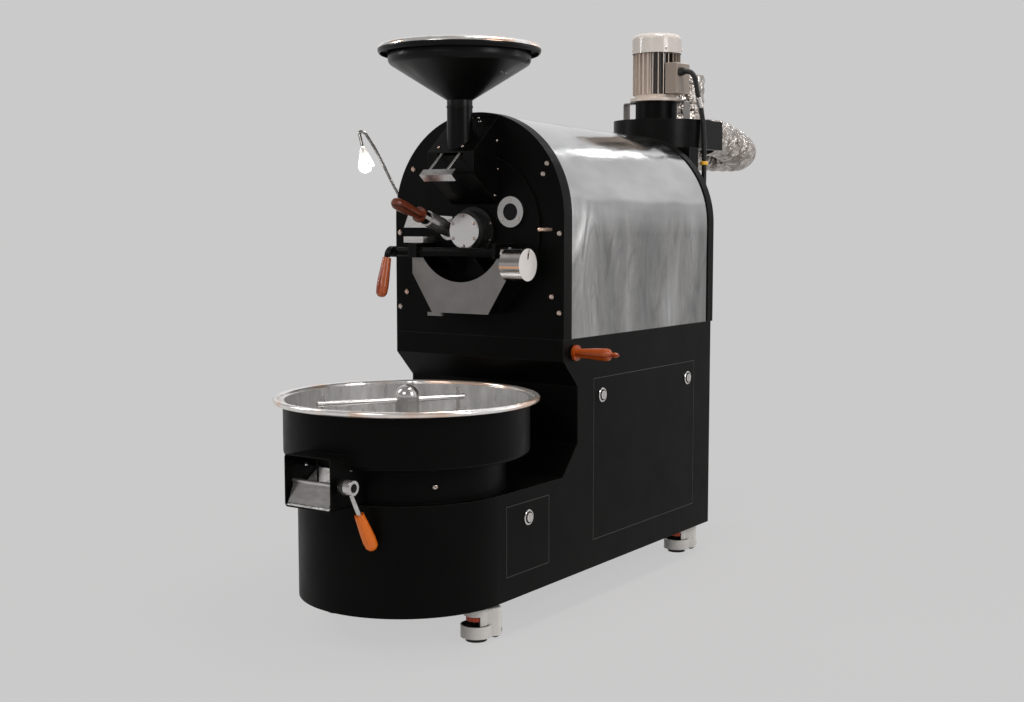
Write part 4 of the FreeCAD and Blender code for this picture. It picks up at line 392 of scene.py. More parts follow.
BLACK = (0.0018, 0.0018, 0.0017)
BLACK_LIGHT = (0.0034, 0.0033, 0.0031)
# Lighter edge colour of the black coats: partly wear, partly a painted edge highlight.
EDGE_WEAR_AND_HIGHLIGHT_BLACK = (0.075, 0.068, 0.060)
powder = enamel("powder_coat", BLACK, BLACK_LIGHT, 0.38, edge_wear_and_highlight_colour=EDGE_WEAR_AND_HIGHLIGHT_BLACK, Specular_IOR_Level=0.055)
powder_satin = enamel(
    "powder_coat_satin", BLACK, BLACK_LIGHT, 0.28, edge_wear_and_highlight_colour=EDGE_WEAR_AND_HIGHLIGHT_BLACK, Specular_IOR_Level=0.09,
)
cast_black = enamel(
    "painted_casting", (0.006, 0.006, 0.006), (0.014, 0.014, 0.013), 0.5, 300.0, 0.0002,
    edge_wear_and_highlight_colour=(0.10, 0.09, 0.08), Specular_IOR_Level=0.25,
)
cream = enamel(
    "motor_enamel", (0.48, 0.395, 0.335), (0.60, 0.51, 0.445), 0.30, 300.0, 0.00004,
    edge_wear_and_highlight_colour=(0.22, 0.17, 0.14), edge=0.0008,
)
cream_gloss = enamel(
    "cowl_enamel", (0.50, 0.455, 0.42), (0.60, 0.555, 0.52), 0.14, 60.0, 0.0001,
    edge_wear_and_highlight_colour=(0.35, 0.26, 0.20), edge=0.0008,
)
# Painted shade: a darker copy of the motor's beige for its terminal box.
terminal_box_painted_shade = enamel(
    "terminal_box_painted_shade", (0.19, 0.15, 0.12), (0.26, 0.21, 0.175), 0.35, 300.0, 0.00004,
    edge_wear_and_highlight_colour=(0.22, 0.17, 0.14), edge=0.0008,
)
# Painted shade: the dark ground between the motor's fins on the near side.
fin_painted_shade = enamel("motor_shadow", (0.010, 0.008, 0.007), (0.045, 0.036, 0.030), 0.35, edge=0.0005)
gland_black = enamel("gland_nylon", (0.008, 0.008, 0.008), (0.016, 0.015, 0.014), 0.28, edge=0.0005)
caster_white = enamel(
    "caster_nylon", (0.62, 0.60, 0.57), (0.76, 0.74, 0.71), 0.22, 200.0, 0.00004,
    edge_wear_and_highlight_colour=(0.45, 0.40, 0.36), edge=0.001,
)
# Black of the wheels and feet, also used as painted shade inside the housings' cups.
caster_black_and_cup_shade = enamel(
    "caster_black_and_cup_shade", (0.008, 0.008, 0.008), (0.018, 0.017, 0.016), 0.4, 300.0, 0.00008,
    edge=0.001, Specular_IOR_Level=0.25,
)
caster_orange = enamel("caster_orange", (0.48, 0.045, 0.008), (0.68, 0.09, 0.015), 0.32, edge=0.0006)
rubber = enamel(
    "cable_rubber", (0.005, 0.005, 0.005), (0.012, 0.012, 0.011), 0.38, 600.0, 0.00008,
    edge=0.0006, Specular_IOR_Level=0.3,
)
tie_yellow = enamel("tie_nylon", (0.62, 0.30, 0.01), (0.80, 0.42, 0.02), 0.35, edge=0.0006)

# Colour of the painted warm reflections on polished rims.
PAINTED_WARM_REFLECTION = (0.70, 0.42, 0.27)
# Painted highlight: lighter colour for panel edges that catch the light.
edge_highlight_paint = enamel("panel_edge_highlight", (0.020, 0.019, 0.018), (0.040, 0.038, 0.035), 0.4)


# Heights over which the shroud's painted reflections fade into a lighter painted sheen.
PAINTED_SHEEN_FROM, PAINTED_SHEEN_FADE = 0.93, 0.07


def sheet_steel():
    """Polished stainless sheet: painted reflections as lighter and darker bands and upright streaks, a
    lighter painted sheen higher up, and slow waves.
    """
    material, tree, shader = new_material("shroud_stainless", (0.34, 0.335, 0.33), 0.18, 1.0)
    # Painted reflections: bands and upright streaks in the colour.
    reflection_space = mapped(tree, (0.8, 1.0, 0.30))
    reflection_band_noise = grain(tree, reflection_space, 5.0, 1.0, 0.4, 1.2)
    reflection_streak_noise = grain(tree, reflection_space, 11.0, 2.0, 0.5, 3.2)
    tone = stops(tree, reflection_band_noise, (0.34, (0.245, 0.245, 0.243)), (0.52, (0.335, 0.33, 0.325)), (0.70, 0.455))
    painted_streaks = stops(
        tree, reflection_streak_noise, (0.34, 0.84), (0.42, 1.02), (0.49, 1.02), (0.51, 1.18), (0.53, 1.02), (0.68, 1.22),
    )
    painted_reflections = blend(tree, 1.0, tone, painted_streaks, "MULTIPLY")
    # Painted highlight: higher up the colour fades into a lighter sheen.
    low_part = maths(tree, "DIVIDE", maths(tree, "SUBTRACT", height_of(tree), PAINTED_SHEEN_FROM), PAINTED_SHEEN_FADE)
    painted_sheen_mask = stops(tree, low_part, (0.0, 0.0), (1.0, 1.0))
    painted_sheen = stops(tree, grain(tree, mapped(tree, (1.0, 1.0, 3.0)), 4.0, 2.0), (0.35, 0.42), (0.65, 0.54))
    link(tree, blend(tree, painted_sheen_mask, painted_reflections, painted_sheen), shader.inputs["Base Color"])
    link(tree, stops(tree, reflection_streak_noise, (0.3, 0.09), (0.7, 0.17)), shader.inputs["Roughness"])
    still = mapped(tree)
    relief(tree, shader, (grain(tree, still, 4.5, 1.5, 0.4), 0.006))
    return material


shroud_steel = sheet_steel()
stainless = brushed("stainless", (0.52, 0.505, 0.49), (0.66, 0.645, 0.63), 0.2, (1, 1, 4), wave=0.0004)
raw_steel = brushed(
    "raw_sheet", (0.20, 0.192, 0.184), (0.235, 0.225, 0.215), 0.38, (0.8, 0.8, 0.8), wave=0.0003,
    wave_scale=9.0,
)
polished = brushed("polished_steel", (0.64, 0.62, 0.60), (0.74, 0.72, 0.70), 0.12, (1, 1, 1))
pin_steel = brushed("pin_steel", (0.62, 0.42, 0.32), (0.86, 0.62, 0.50), 0.3, (1, 1, 1))
turned_end = brushed(
    "turned_end", (0.66, 0.62, 0.60), (0.72, 0.68, 0.66), 0.5, (0.5, 0.5, 0.5), wave=0.0001, wave_scale=30.0,
)
# Bolt heads: warm steel with patches of painted warm reflection.
bolt_steel = brushed(
    "bolt_steel", (0.40, 0.34, 0.30), (0.62, 0.54, 0.49), 0.16, (1, 1, 1), painted_warm_reflection=(0.60, 0.38, 0.28),
    painted_warm_scale=30.0,
)
# Hopper rim: polished steel with patches of painted warm reflection.
rim_steel = brushed(
    "rim_steel", (0.66, 0.64, 0.62), (0.88, 0.86, 0.84), 0.17, (1.2, 1.2, 3.0), painted_warm_reflection=PAINTED_WARM_REFLECTION,
    painted_warm_scale=11.0, wave=0.0005, wave_scale=12.0,
)
pan_steel = brushed(
    "pan_steel", (0.62, 0.61, 0.60), (0.86, 0.85, 0.84), 0.30, (1.5, 1.5, 0.4), wave=0.003, wave_scale=7.0,
)
# Tray rim: bright polished steel with patches of painted warm reflection.
tray_rim_steel = brushed(
    "tray_rim_steel", (0.80, 0.78, 0.76), (0.94, 0.92, 0.90), 0.15, (1.2, 1.2, 3.0),
    painted_warm_reflection=(0.80, 0.56, 0.42), painted_warm_scale=7.0, wave=0.0003, wave_scale=8.0,
)
METAL_SHARES = (
    (rim_steel, 0.72), (tray_rim_steel, 0.72), (pan_steel, 0.85), (stainless, 0.88), (pin_steel, 0.7),
    (turned_end, 0.15),
)
for material, share in METAL_SHARES:
    material.node_tree.nodes["Principled BSDF"].inputs["Metallic"].default_value = share
dull_steel = brushed("dull_steel", (0.10, 0.095, 0.09), (0.18, 0.17, 0.16), 0.5, (1, 3, 1))
bare_cover = brushed("cover_steel", (0.62, 0.61, 0.60), (0.68, 0.67, 0.66), 0.24, (0.5, 0.5, 0.5))
ring_steel = brushed("ring_steel", (0.42, 0.415, 0.41), (0.46, 0.455, 0.45), 0.24, (0.5, 0.5, 0.5))
neck_steel = brushed("neck_steel", (0.10, 0.095, 0.09), (0.48, 0.46, 0.44), 0.18, (1, 1, 9))


def foil_material():
    """Crumpled aluminium foil: sharp creases and soft folds over a bright skin."""
    material, tree, shader = new_material("crumpled_foil", (0.7, 0.67, 0.64), 0.2, 1.0)
    space = mapped(tree)
    warp = tree.nodes.new("ShaderNodeTexNoise")
    warp.inputs["Scale"].default_value = 22.0
    link(tree, space, warp.inputs["Vector"])
    pushed = tree.nodes.new("ShaderNodeVectorMath")
    pushed.operation = "MULTIPLY_ADD"
    pushed.inputs[1].default_value = (0.05, 0.05, 0.05)
    link(tree, warp.outputs["Color"], pushed.inputs[0])
    link(tree, space, pushed.inputs[2])
    creases = tree.nodes.new("ShaderNodeTexVoronoi")
    creases.feature = "DISTANCE_TO_EDGE"
    creases.inputs["Scale"].default_value = 24.0
    link(tree, pushed.outputs[0], creases.inputs["Vector"])
    folds = grain(tree, pushed.outputs[0], 17.0, 4.0, 0.6)
    patches = grain(tree, space, 40.0, 3.0)
    tone = stops(tree, patches, (0.35, (0.26, 0.225, 0.20)), (0.65, (0.62, 0.575, 0.54)))
    link(tree, tone, shader.inputs["Base Color"])
    link(tree, stops(tree, folds, (0.3, 0.14), (0.7, 0.34)), shader.inputs["Roughness"])
    relief(tree, shader, (folds, 0.022), (creases.outputs["Distance"], 0.012))
    return material


foil = foil_material()


def painted_reflection_steel(low, high):
    """Polished turned steel whose colour is painted reflections: bright, dark and warm bands by height,
    between two heights.
    """
    material, tree, shader = new_material("weight_painted_reflections", (0.6, 0.58, 0.56), 0.14, 1.0)
    level = maths(tree, "DIVIDE", maths(tree, "SUBTRACT", height_of(tree), low), high - low)
    tone = stops(
        tree, level, (0.0, (0.66, 0.60, 0.56)), (0.22, (0.94, 0.90, 0.87)), (0.36, (0.36, 0.34, 0.32)),
        (0.42, (0.92, 0.48, 0.25)), (0.47, (0.38, 0.36, 0.35)), (0.66, (0.52, 0.49, 0.47)),
        (0.76, (0.95, 0.89, 0.84)), (1.0, (0.56, 0.52, 0.49)),
    )
    link(tree, tone, shader.inputs["Base Color"])
    gloss = stops(tree, grain(tree, mapped(tree), 40.0), (0.3, 0.11), (0.7, 0.2))
    link(tree, gloss, shader.inputs["Roughness"])
    return material


# Painted shade: near-black glass that lets little light through stands in for the dark drum behind it.
glass, glass_tree, glass_shader = new_material("sight_glass", (0.012, 0.012, 0.012), 0.04, IOR=1.45)
glass_shader.inputs["Transmission Weight"].default_value = 0.08
glass_shader.inputs["Specular IOR Level"].default_value = 0.06
link(
    glass_tree,
    stops(glass_tree, grain(glass_tree, mapped(glass_tree), 80.0, 4.0), (0.4, 0.03), (0.75, 0.16)),
    glass_shader.inputs["Roughness"],
)

lens, lens_tree, lens_shader = new_material("lamp_lens", (0.95, 0.95, 0.92), 0.2)
lens_shader.inputs["Emission Color"].default_value = (1.0, 0.98, 0.95, 1)
lens_shader.inputs["Emission Strength"].default_value = 4.0
link(
    lens_tree,
    stops(lens_tree, grain(lens_tree, mapped(lens_tree), 200.0, 2.0), (0.4, (0.88, 0.88, 0.84)), (0.7, 0.97)),
    lens_shader.inputs["Base Color"],
)

shade, shade_tree, shade_shader = new_material("lamp_shade", (0.80, 0.76, 0.73), 0.2, 0.3)
SHADE_LOW, SHADE_HIGH = 1.118, 1.170
level = maths(shade_tree, "SUBTRACT", height_of(shade_tree), SHADE_LOW)
level = maths(shade_tree, "DIVIDE", level, SHADE_HIGH - SHADE_LOW)
# Painted glow: emission, white at the mouth and fading to dark towards the crown, stands in for the bulb's
# light on the shade.
link(
    shade_tree, stops(shade_tree, level, (0.0, (1.0, 0.99, 0.97)), (0.60, (0.05, 0.045, 0.042))),
    shade_shader.inputs["Emission Color"],
)
shade_shader.inputs["Emission Strength"].default_value = 2.0
link(
    shade_tree, stops(shade_tree, grain(shade_tree, mapped(shade_tree), 120.0), (0.3, 0.16), (0.7, 0.26)),
    shade_shader.inputs["Roughness"],
)

grips = {}
for node, dark, light, seed in (
    ("gate_handle", (0.44, 0.070, 0.004), (0.80, 0.165, 0.008), 1.0),
    ("door_handle", (0.25, 0.036, 0.010), (0.45, 0.094, 0.026), 2.0),
    ("damper_handle", (0.19, 0.022, 0.003), (0.36, 0.060, 0.005), 3.0),
    ("tryer_handle", (0.050, 0.010, 0.005), (0.15, 0.032, 0.013), 4.0),
):
    grips[node] = wooden(node + "_wood", main_axis(NODES[node]), dark, light, seed)

BY_SLOT = {
    "powder_black": powder, "stainless": stainless, "polished": polished, "raw_steel": raw_steel,
    "drum_steel": dull_steel, "cast": cast_black, "motor_cream": cream, "foil": foil, "cable_black": rubber,
    "glass": glass, "heater": dull_steel, "caster_white": caster_white, "caster_wheel": caster_black_and_cup_shade,
    "caster_orange": caster_orange, "lamp_black": gland_black,
}
node_slot = {part["node"]: part["material_slot"] for part in frame["record"]["subparts"]}
for node in NODES:
    dress(node, grips.get(node) or BY_SLOT[node_slot[node]])
dress("shroud", shroud_steel)
dress("bearing_cover", bare_cover)
dress("sight_ring", ring_steel)
weight_low, weight_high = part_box("counterweight")
# Painted reflections on the weight's round side.
weight_painted_reflections = painted_reflection_steel(weight_low.z, weight_high.z)
dress("counterweight", weight_painted_reflections, turned_end, pick=lambda centre, normal: 1 if normal.x > 0.9 else 0)
STOP_PIN = at(223, -1, 944)
PIN_REACH = 0.004


def arch_faces(centre, normal):
    """The stop pin on the front plate is bare steel."""
    near = math.hypot(centre.x - STOP_PIN.x, centre.z - STOP_PIN.z) < PIN_REACH
    return 1 if near and centre.y < at(0, -0.5, 0).y else 0


dress("button_bolts", bolt_steel)
powder_smooth = enamel("powder_coat_smooth", BLACK, BLACK_LIGHT, 0.30, Specular_IOR_Level=0.15)
for node in ("feed_box", "discharge_chute", "blower_housing"):
    dress(node, powder_satin)
dress("front_arch", powder, bolt_steel, pick=arch_faces)

HOPPER_RIM = at(0, 0, 1377).z


def hopper_faces(centre, normal):
    """The curled rim's outer and upper faces are polished, the rest is coated."""
    return 1 if centre.z > HOPPER_RIM and normal.z > 0.1 else 0


dress("hopper", powder_smooth, rim_steel, pick=hopper_faces)

RIM_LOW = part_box("tray_liner")[1].z - 0.022


def liner_faces(centre, normal):
    """The tray's rolled rim is a brighter, glossier steel than its inside, with painted warm reflections."""
    return 1 if centre.z > RIM_LOW else 0


dress("tray_liner", pan_steel, tray_rim_steel, pick=liner_faces)
dress("tray_screen", pan_steel)

MOTOR_AXIS = at(0, 940, 0)
COWL_LOW = at(0, 0, 1468.5).z
FLANGE_TOP = at(0, 0, 1350).z
GLAND_MIDDLE = at(113, 904, 1409)
GLAND_REACH, GLAND_START = 0.022, at(97.5, 0, 0).x
FIN_TIP = 0.0715
BOX_BACK, BOX_HALF = 0.011, 0.044
FIN_SHADE_FROM, FIN_SHADE_TO = -76.0, -14.0
BOX_SIDE = at(64, 0, 0).x


def motor_faces(centre, normal):
    """Glossy cowl, beige body, painted shade between the fins on the near side, black gland, painted shade on
    the terminal box.
    """
    if centre.z > COWL_LOW:
        return 1
    offset = centre - MOTOR_AXIS
    if (centre - GLAND_MIDDLE).length < GLAND_REACH and centre.x > GLAND_START:
        return 3
    if centre.z < FLANGE_TOP:
        return 0
    angle = math.degrees(math.atan2(offset.y, offset.x))
    reach = math.hypot(offset.x, offset.y)
    # Painted shade between the fins, in the sector on the near side.
    if reach < FIN_TIP and FIN_SHADE_FROM < angle < FIN_SHADE_TO:
        return 2
    # Painted shade on the terminal box.
    if centre.x > BOX_SIDE and abs(offset.y + BOX_BACK) < BOX_HALF:
        return 4
    return 0


dress("fan_motor", cream, cream_gloss, fin_painted_shade, gland_black, terminal_box_painted_shade, pick=motor_faces)

THUMBWHEEL_LOW, THUMBWHEEL_HIGH = 0.0475, 0.0585


def foot_faces(centre, normal):
    """The notched thumbwheel is orange, its stem and pad are black."""
    return 1 if THUMBWHEEL_LOW < centre.z < THUMBWHEEL_HIGH else 0


CUP_FLOOR, CUP_RADIUS = 0.036, 0.034


def housing_faces(axis):
    """Painted shade: the inside of the housing's cup is dark."""
    def pick(centre, normal):
        offset = Vector((centre.x - axis.x, centre.y - axis.y, 0))
        inward = normal.dot(offset) < -0.3 * offset.length
        floor_of_cup = normal.z > 0.7 and centre.z < CUP_FLOOR and offset.length < CUP_RADIUS
        return 1 if inward or floor_of_cup else 0
    return pick


CASTERS = (
    ("front_left", -212, -300), ("front_right", 212, -300),
    ("rear_left", -190, 738), ("rear_right", 190, 738),
)
for corner, x, y in CASTERS:
    dress(f"caster_{corner}_foot", caster_black_and_cup_shade, caster_orange, pick=foot_faces)
    dress(f"caster_{corner}_housing", caster_white, caster_black_and_cup_shade, pick=housing_faces(at(x, y, 0)))

STAND_HUB = 0.080
STAND_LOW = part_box("blower_housing")[1].z


def stand_faces(centre, normal):
    """The hub is black, the strap round it is bare grey steel."""
    offset = centre - MOTOR_AXIS
    return 1 if centre.z > STAND_LOW and math.hypot(offset.x, offset.y) > STAND_HUB else 0


dress("blower_stand", powder, raw_steel, pick=stand_faces)

CLAMP_TOP = at(0, 0, 976).z
SHADE_MOUTH = Vector((-0.358, -0.3935, 1.1046))
SHADE_AXIS = Vector((-0.24, 0.0, 0.97)).normalized()
SHADE_REACH, SHADE_RISE = 0.025, 0.064


def lamp_faces(centre, normal):
    """Black clamp, banded steel neck, shade with a painted glow, and lens."""
    if centre.z < CLAMP_TOP:
        return 0
    rise = (centre - SHADE_MOUTH).dot(SHADE_AXIS)
    away = (centre - SHADE_MOUTH - SHADE_AXIS * rise).length
    if away < SHADE_REACH and rise < SHADE_RISE:
        return 3 if normal.dot(SHADE_AXIS) < -0.85 else 2
    return 1


dress("work_lamp", gland_black, neck_steel, shade, lens, pick=lamp_faces)

# small fasteners

def bolt(name, point, axis, radius):
    """A low domed screw head with a recess, standing on a surface."""
    profile = (
        (radius, -0.0004), (radius, radius * 0.22), (radius * 0.86, radius * 0.44),
        (radius * 0.50, radius * 0.56), (radius * 0.34, radius * 0.56), (radius * 0.28, radius * 0.26),
        (0.0, radius * 0.24),
    )
    return put(name, lathe(name, profile, facing(point, axis), 24), "frame", bolt_steel)


def round_bolt(name, middle_y, reach, angle, height, radius):
    """A screw head on an upright round wall, at an angle round its axis."""
    out = Vector((math.cos(math.radians(angle)), math.sin(math.radians(angle)), 0))
    bolt(name, at(reach * out.x, middle_y + reach * out.y, height), out, radius)


SMALL_BOLT, LARGE_BOLT = 0.004, 0.0065
FEED_SIDE = 70.0
for number, (y, z) in enumerate(((-10, 1162), (-5, 1093), (-21, 1028))):
    bolt(f"feed_side_bolt_{number}", at(FEED_SIDE, y, z), (1, 0, 0), SMALL_BOLT)

SLOPE_NORMAL = Vector((0, -92, 110))
for number, (x, y, z) in enumerate(((12, -6, 1220), (24, -18, 1210), (-45, -96, 1145), (26, -94, 1146))):
    bolt(f"feed_slope_bolt_{number}", at(x, y, z), SLOPE_NORMAL, SMALL_BOLT)

MOTOR_Y, COWL_RADIUS, COWL_SCREW_HEIGHT = 940, 74.5, 1480
for number, angle in enumerate((-133, -40, 26)):
    round_bolt(f"cowl_screw_{number}", MOTOR_Y, COWL_RADIUS, angle, COWL_SCREW_HEIGHT, SMALL_BOLT)

TRAY_Y, COLLAR_RADIUS = -284, 235.0
COLLAR_BOLT_ANGLE, COLLAR_BOLT_HEIGHT = -36.5, 375
round_bolt("collar_bolt", TRAY_Y, COLLAR_RADIUS, COLLAR_BOLT_ANGLE, COLLAR_BOLT_HEIGHT, LARGE_BOLT)

# painted shade: a dark ring in the gap round each latch's core

CORE_DEPTH, GAP_DEPTH = 0.0006, 0.002
for node in ("base_latch", "side_latch_front", "side_latch_rear"):
    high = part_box(node)[1]
    core = [v.co for v in NODES[node].data.vertices if v.co.x > high.x - CORE_DEPTH]
    middle = sum(core, Vector()) / len(core)
    middle.x = high.x - GAP_DEPTH
    profile = ((0.0112, 0.0), (0.0112, 0.0003), (0.0145, 0.0003), (0.0145, 0.0), (0.0112, 0.0))
    ring = lathe(node + "_gap_shade", profile, facing(middle, (1, 0, 0)), 40)
    put(node + "_gap_shade", ring, node, powder)

# bush of the tray gate's lever, painted shade in its socket and in the slot of the weight, and cap of the
# stop pin

GATE_SHAFT_DROP = 0.0165
gate_shaft_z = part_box("tray_gate")[1].z - GATE_SHAFT_DROP


def on_gate_shaft(x):
    """Where a turned form stands on the tray gate's shaft."""
    spot = at(x, -608, 0)
    return facing(Vector((spot.x, spot.y, gate_shaft_z)), (1, 0, 0))


BUSH_X, SOCKET_X = 79.5, 108.2
hub_profile = ((0.0166, 0.0), (0.0176, 0.001), (0.0176, 0.012), (0.0166, 0.0135), (0.0166, 0.0))
bush = lathe("gate_bush_cover", hub_profile, on_gate_shaft(BUSH_X), 40)
put("gate_bush_cover", bush, "tray_gate", gland_black)

# Painted shade: a dark disc in the lever's socket.
socket_profile = ((0.0, 0.0), (0.0, 0.0004), (0.0096, 0.0004), (0.0096, 0.0), (0.0, 0.0))
socket = lathe("gate_socket_shade", socket_profile, on_gate_shaft(SOCKET_X), 24)
put("gate_socket_shade", socket, "tray_gate", powder)

# Painted shade: a dark rod along the slot in the weight's end.
SLOT_RADIUS = 0.0017
SLOT_PATH = [at(207.2, -80 + 3 * k, 873 + 12 * k) for k in (0, 1, 2)]
put(
    "weight_slot_shade", tube("weight_slot_shade", SLOT_PATH, lambda i, a: SLOT_RADIUS, 16),
    "discharge_door", gland_black,
)

pin_profile = ((0.0042, 0.0), (0.0042, 0.0535), (0.0036, 0.0545), (0.0, 0.0545))
put(
    "stop_pin_cap", lathe("stop_pin_cap", pin_profile, facing(STOP_PIN, (0, -1, 0)), 24),
    "frame", pin_steel,
)


def painted_edge_highlight(name, node, width, proud):
    """A painted highlight: the lighter thin edge of a panel, as a flat frame on its face."""
    low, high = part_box(node)
    x0, x1 = high.x - proud / 2, high.x + proud
    outer = ((low.y, low.z), (high.y, low.z), (high.y, high.z), (low.y, high.z))
    inner = (
        (low.y + width, low.z + width), (high.y - width, low.z + width),
        (high.y - width, high.z - width), (low.y + width, high.z - width),
    )
    points = [(x, y, z) for x in (x0, x1) for ring in (outer, inner) for y, z in ring]
    faces = []
    for k in range(4):
        m = (k + 1) % 4
        faces += [(8 + k, 8 + m, 12 + m, 12 + k), (k, m, 8 + m, 8 + k), (4 + m, 4 + k, 12 + k, 12 + m)]
    return put(name, mesh_of(name, points, faces), node, edge_highlight_paint, smooth=False)


EDGE_WIDTH, EDGE_PROUD = 0.0014, 0.0003
# Painted highlight round the side and base panels.
for node in ("side_panel", "base_panel"):
    painted_edge_highlight(node + "_edge", node, EDGE_WIDTH, EDGE_PROUD)

# lamp bulb

bulb_profile = (
    (0.0, -0.013), (0.006, -0.0122), (0.012, -0.0092), (0.0155, -0.0045), (0.0165, 0.002), (0.0155, 0.008),
    (0.0, 0.008),
)
put(
    "lamp_bulb", lathe("lamp_bulb", bulb_profile, facing(SHADE_MOUTH, SHADE_AXIS), 32),
    "frame", lens,
)

# motor cable

CABLE_ROUTE = (
    (113.3, 904, 1409), (127, 904, 1409), (140, 904.5, 1402), (148, 907, 1386), (150.5, 913, 1353),
    (153, 924, 1321), (156, 935, 1291), (161.5, 940, 1239), (166, 936, 1166), (167.5, 932, 1060),
    (166, 929, 950), (163, 926, 850), (159, 925, 765), (155, 924, 705), (153, 921, 664),
    (151, 899.5, 622), (150, 860, 600), (150, 820.3, 600),
)
CABLE_DIAMETER = 0.0155
RIB_PITCH = 0.0044
RIB_SHAPE = (0.0, 0.0, -0.0008, -0.0008)
SLEEVE_HEIGHTS = (1.301, 1.332)
TIE_HEIGHTS = (1.131, 1.143)


def spline_points(name, route):
    """The route's own NURBS line, as points."""
    curve = bpy.data.curves.new(name, "CURVE")
    curve.dimensions = "3D"
    curve.resolution_u = 40
    line = curve.splines.new("NURBS")
    line.points.add(len(route) - 1)
    for point, place in zip(line.points, route):
        point.co = (*place, 1)
    line.order_u = 3
    line.use_endpoint_u = True
    holder = bpy.data.objects.new(name, curve)
    bpy.context.scene.collection.objects.link(holder)
    mesh = bpy.data.meshes.new_from_object(holder)
    points = [v.co.copy() for v in mesh.vertices]
    bpy.data.objects.remove(holder)
    return points


def even(points, step):
    """The same line in equal steps."""
    out, carried = [points[0]], 0.0
    for a, b in zip(points, points[1:]):
        run = (b - a).length
        while carried + run >= step:
            a = a + (b - a) * ((step - carried) / run)
            run = (b - a).length
            out.append(a)
            carried = 0.0
        carried += run
    out.append(points[-1])
    return out


def band(name, line, heights, thickness, material):
    """A sleeve round the stretch of cable between two heights."""
    inside = [p for p in line if heights[0] <= p.z <= heights[1]]
    reach = CABLE_DIAMETER / 2 + thickness
    last = len(inside) - 1
    return put(
        name, tube(name, inside, lambda i, a: reach - thickness * 0.6 * (i in (0, last)), 28),
        "frame", material,
    )


cable_line = spline_points("cable_line", [at(*p) for p in CABLE_ROUTE])
cable_path = even(cable_line, RIB_PITCH / len(RIB_SHAPE))
cable = put(
    "motor_conduit",
    tube(
        "motor_conduit", cable_path,
        lambda i, a: CABLE_DIAMETER / 2 + RIB_SHAPE[i % len(RIB_SHAPE)], 20,
    ),
    "frame", rubber,
)
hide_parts("motor_cable")
sleeve = band("cable_sleeve", cable_path, SLEEVE_HEIGHTS, 0.0008, stainless)
tie = band("cable_tie", cable_path, TIE_HEIGHTS, 0.004, tie_yellow)
tuple(cable_line[0])
[tuple(p) for p in cable_line]

# stage and lamps

BACKDROP = (0.597, 0.591, 0.591)


def seen_ray(tree):
    """1 for the rays that show the background: from the camera, off metal and through glass."""
    info = tree.nodes.new("ShaderNodeLightPath")
    shown = maths(tree, "MAXIMUM", info.outputs["Is Camera Ray"], info.outputs["Is Glossy Ray"])
    return maths(tree, "MAXIMUM", shown, info.outputs["Is Transmission Ray"])


floor_material, floor_tree, floor_shader = new_material("floor_pale", BACKDROP, 0.9, Specular_IOR_Level=0.0)
specks = grain(floor_tree, mapped(floor_tree), 3.0, 3.0)
link(
    floor_tree, stops(floor_tree, specks, (0.3, (0.60, 0.594, 0.594)), (0.7, (0.61, 0.605, 0.605))),
    floor_shader.inputs["Base Color"],
)
glow = floor_tree.nodes.new("ShaderNodeEmission")
glow.inputs["Color"].default_value = (*BACKDROP, 1)
place = floor_tree.nodes.new("ShaderNodeTexCoord")
spread = floor_tree.nodes.new("ShaderNodeVectorMath")
spread.operation = "LENGTH"
link(floor_tree, place.outputs["Object"], spread.inputs[0])
SHADOW_REACH = 2.0
fade = stops(
    floor_tree, maths(floor_tree, "DIVIDE", spread.outputs["Value"], SHADOW_REACH), (0.25, 0.86), (0.9, 1.0),
)
mixed = floor_tree.nodes.new("ShaderNodeMixShader")
link(floor_tree, maths(floor_tree, "MULTIPLY", fade, seen_ray(floor_tree)), mixed.inputs[0])
link(floor_tree, floor_shader.outputs[0], mixed.inputs[1])
link(floor_tree, glow.outputs[0], mixed.inputs[2])
link(floor_tree, mixed.outputs[0], floor_tree.nodes["Material Output"].inputs["Surface"])
FLOOR_HALF = 30.0
CORNERS = ((-1, -1), (1, -1), (1, 1), (-1, 1))
floor = bpy.data.objects.new(
    "floor",
    mesh_of("floor", [(x * FLOOR_HALF, y * FLOOR_HALF, 0) for x, y in CORNERS], [(0, 1, 2, 3)]),
)
floor.data.materials.append(floor_material)
bpy.context.scene.collection.objects.link(floor)
floor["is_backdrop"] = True

world = bpy.data.worlds.new("room")
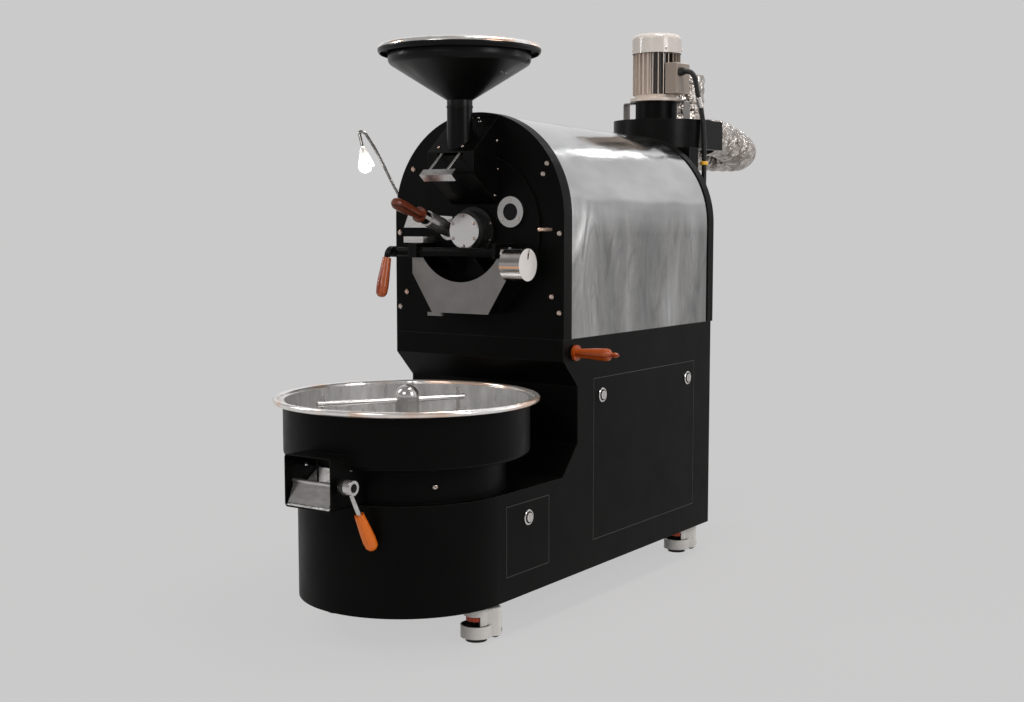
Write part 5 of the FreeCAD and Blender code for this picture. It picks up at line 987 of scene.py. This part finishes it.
bpy.context.scene.world = world
world.use_nodes = True
sky = world.node_tree
background = sky.nodes["Background"]
background.inputs["Color"].default_value = (0.40, 0.395, 0.39, 1)
seen = sky.nodes.new("ShaderNodeBackground")
way = sky.nodes.new("ShaderNodeTexCoord")
way_parts = sky.nodes.new("ShaderNodeSeparateXYZ")
link(sky, way.outputs["Generated"], way_parts.inputs[0])
behind = stops(sky, way_parts.outputs["Y"], (0.20, (0.24, 0.235, 0.23)), (0.50, (0.86, 0.86, 0.87)))
raised = stops(sky, way_parts.outputs["Z"], (0.18, 0.0), (0.21, 1.0))
link(sky, blend(sky, raised, BACKDROP, behind), seen.inputs["Color"])
choose = sky.nodes.new("ShaderNodeMixShader")
link(sky, seen_ray(sky), choose.inputs[0])
link(sky, background.outputs[0], choose.inputs[1])
link(sky, seen.outputs[0], choose.inputs[2])
link(sky, choose.outputs[0], sky.nodes["World Output"].inputs["Surface"])


def lamp(name, place, target, size, power, colour=(1, 1, 1)):
    data = bpy.data.lights.new(name, "AREA")
    data.shape = "RECTANGLE"
    data.size, data.size_y = size
    data.energy = power
    data.color = colour
    holder = bpy.data.objects.new(name, data)
    bpy.context.scene.collection.objects.link(holder)
    place = Vector(place)
    holder.matrix_world = facing(place, place - Vector(target))
    holder.visible_camera = False


BACK = 2.45 - SHIFT
lamp("lamp_over", (0.5, 0.2, 3.4), (0, 0, 0.9), (1.4, 0.8), 45, (1.0, 0.97, 0.93))
lamp("lamp_right", (3.2, -0.6, 2.2), (0, 0, 0.8), (1.2, 1.6), 40)
lamp("lamp_left", (-2.6, -1.6, 2.4), (0, -0.3, 0.9), (0.25, 1.6), 30)
lamp("lamp_front", (0.2, -3.6, 2.6), (0, -0.3, 0.9), (1.2, 0.8), 22)
lamp("lamp_back", (0.16, BACK, 2.35), (0.18, 0.0, 1.15), (0.22, 0.09), 1.6)
lamp("lamp_back_side", (2.2, BACK, 1.3), (0.26, 0.0, 1.0), (0.5, 0.9), 6)

low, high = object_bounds()
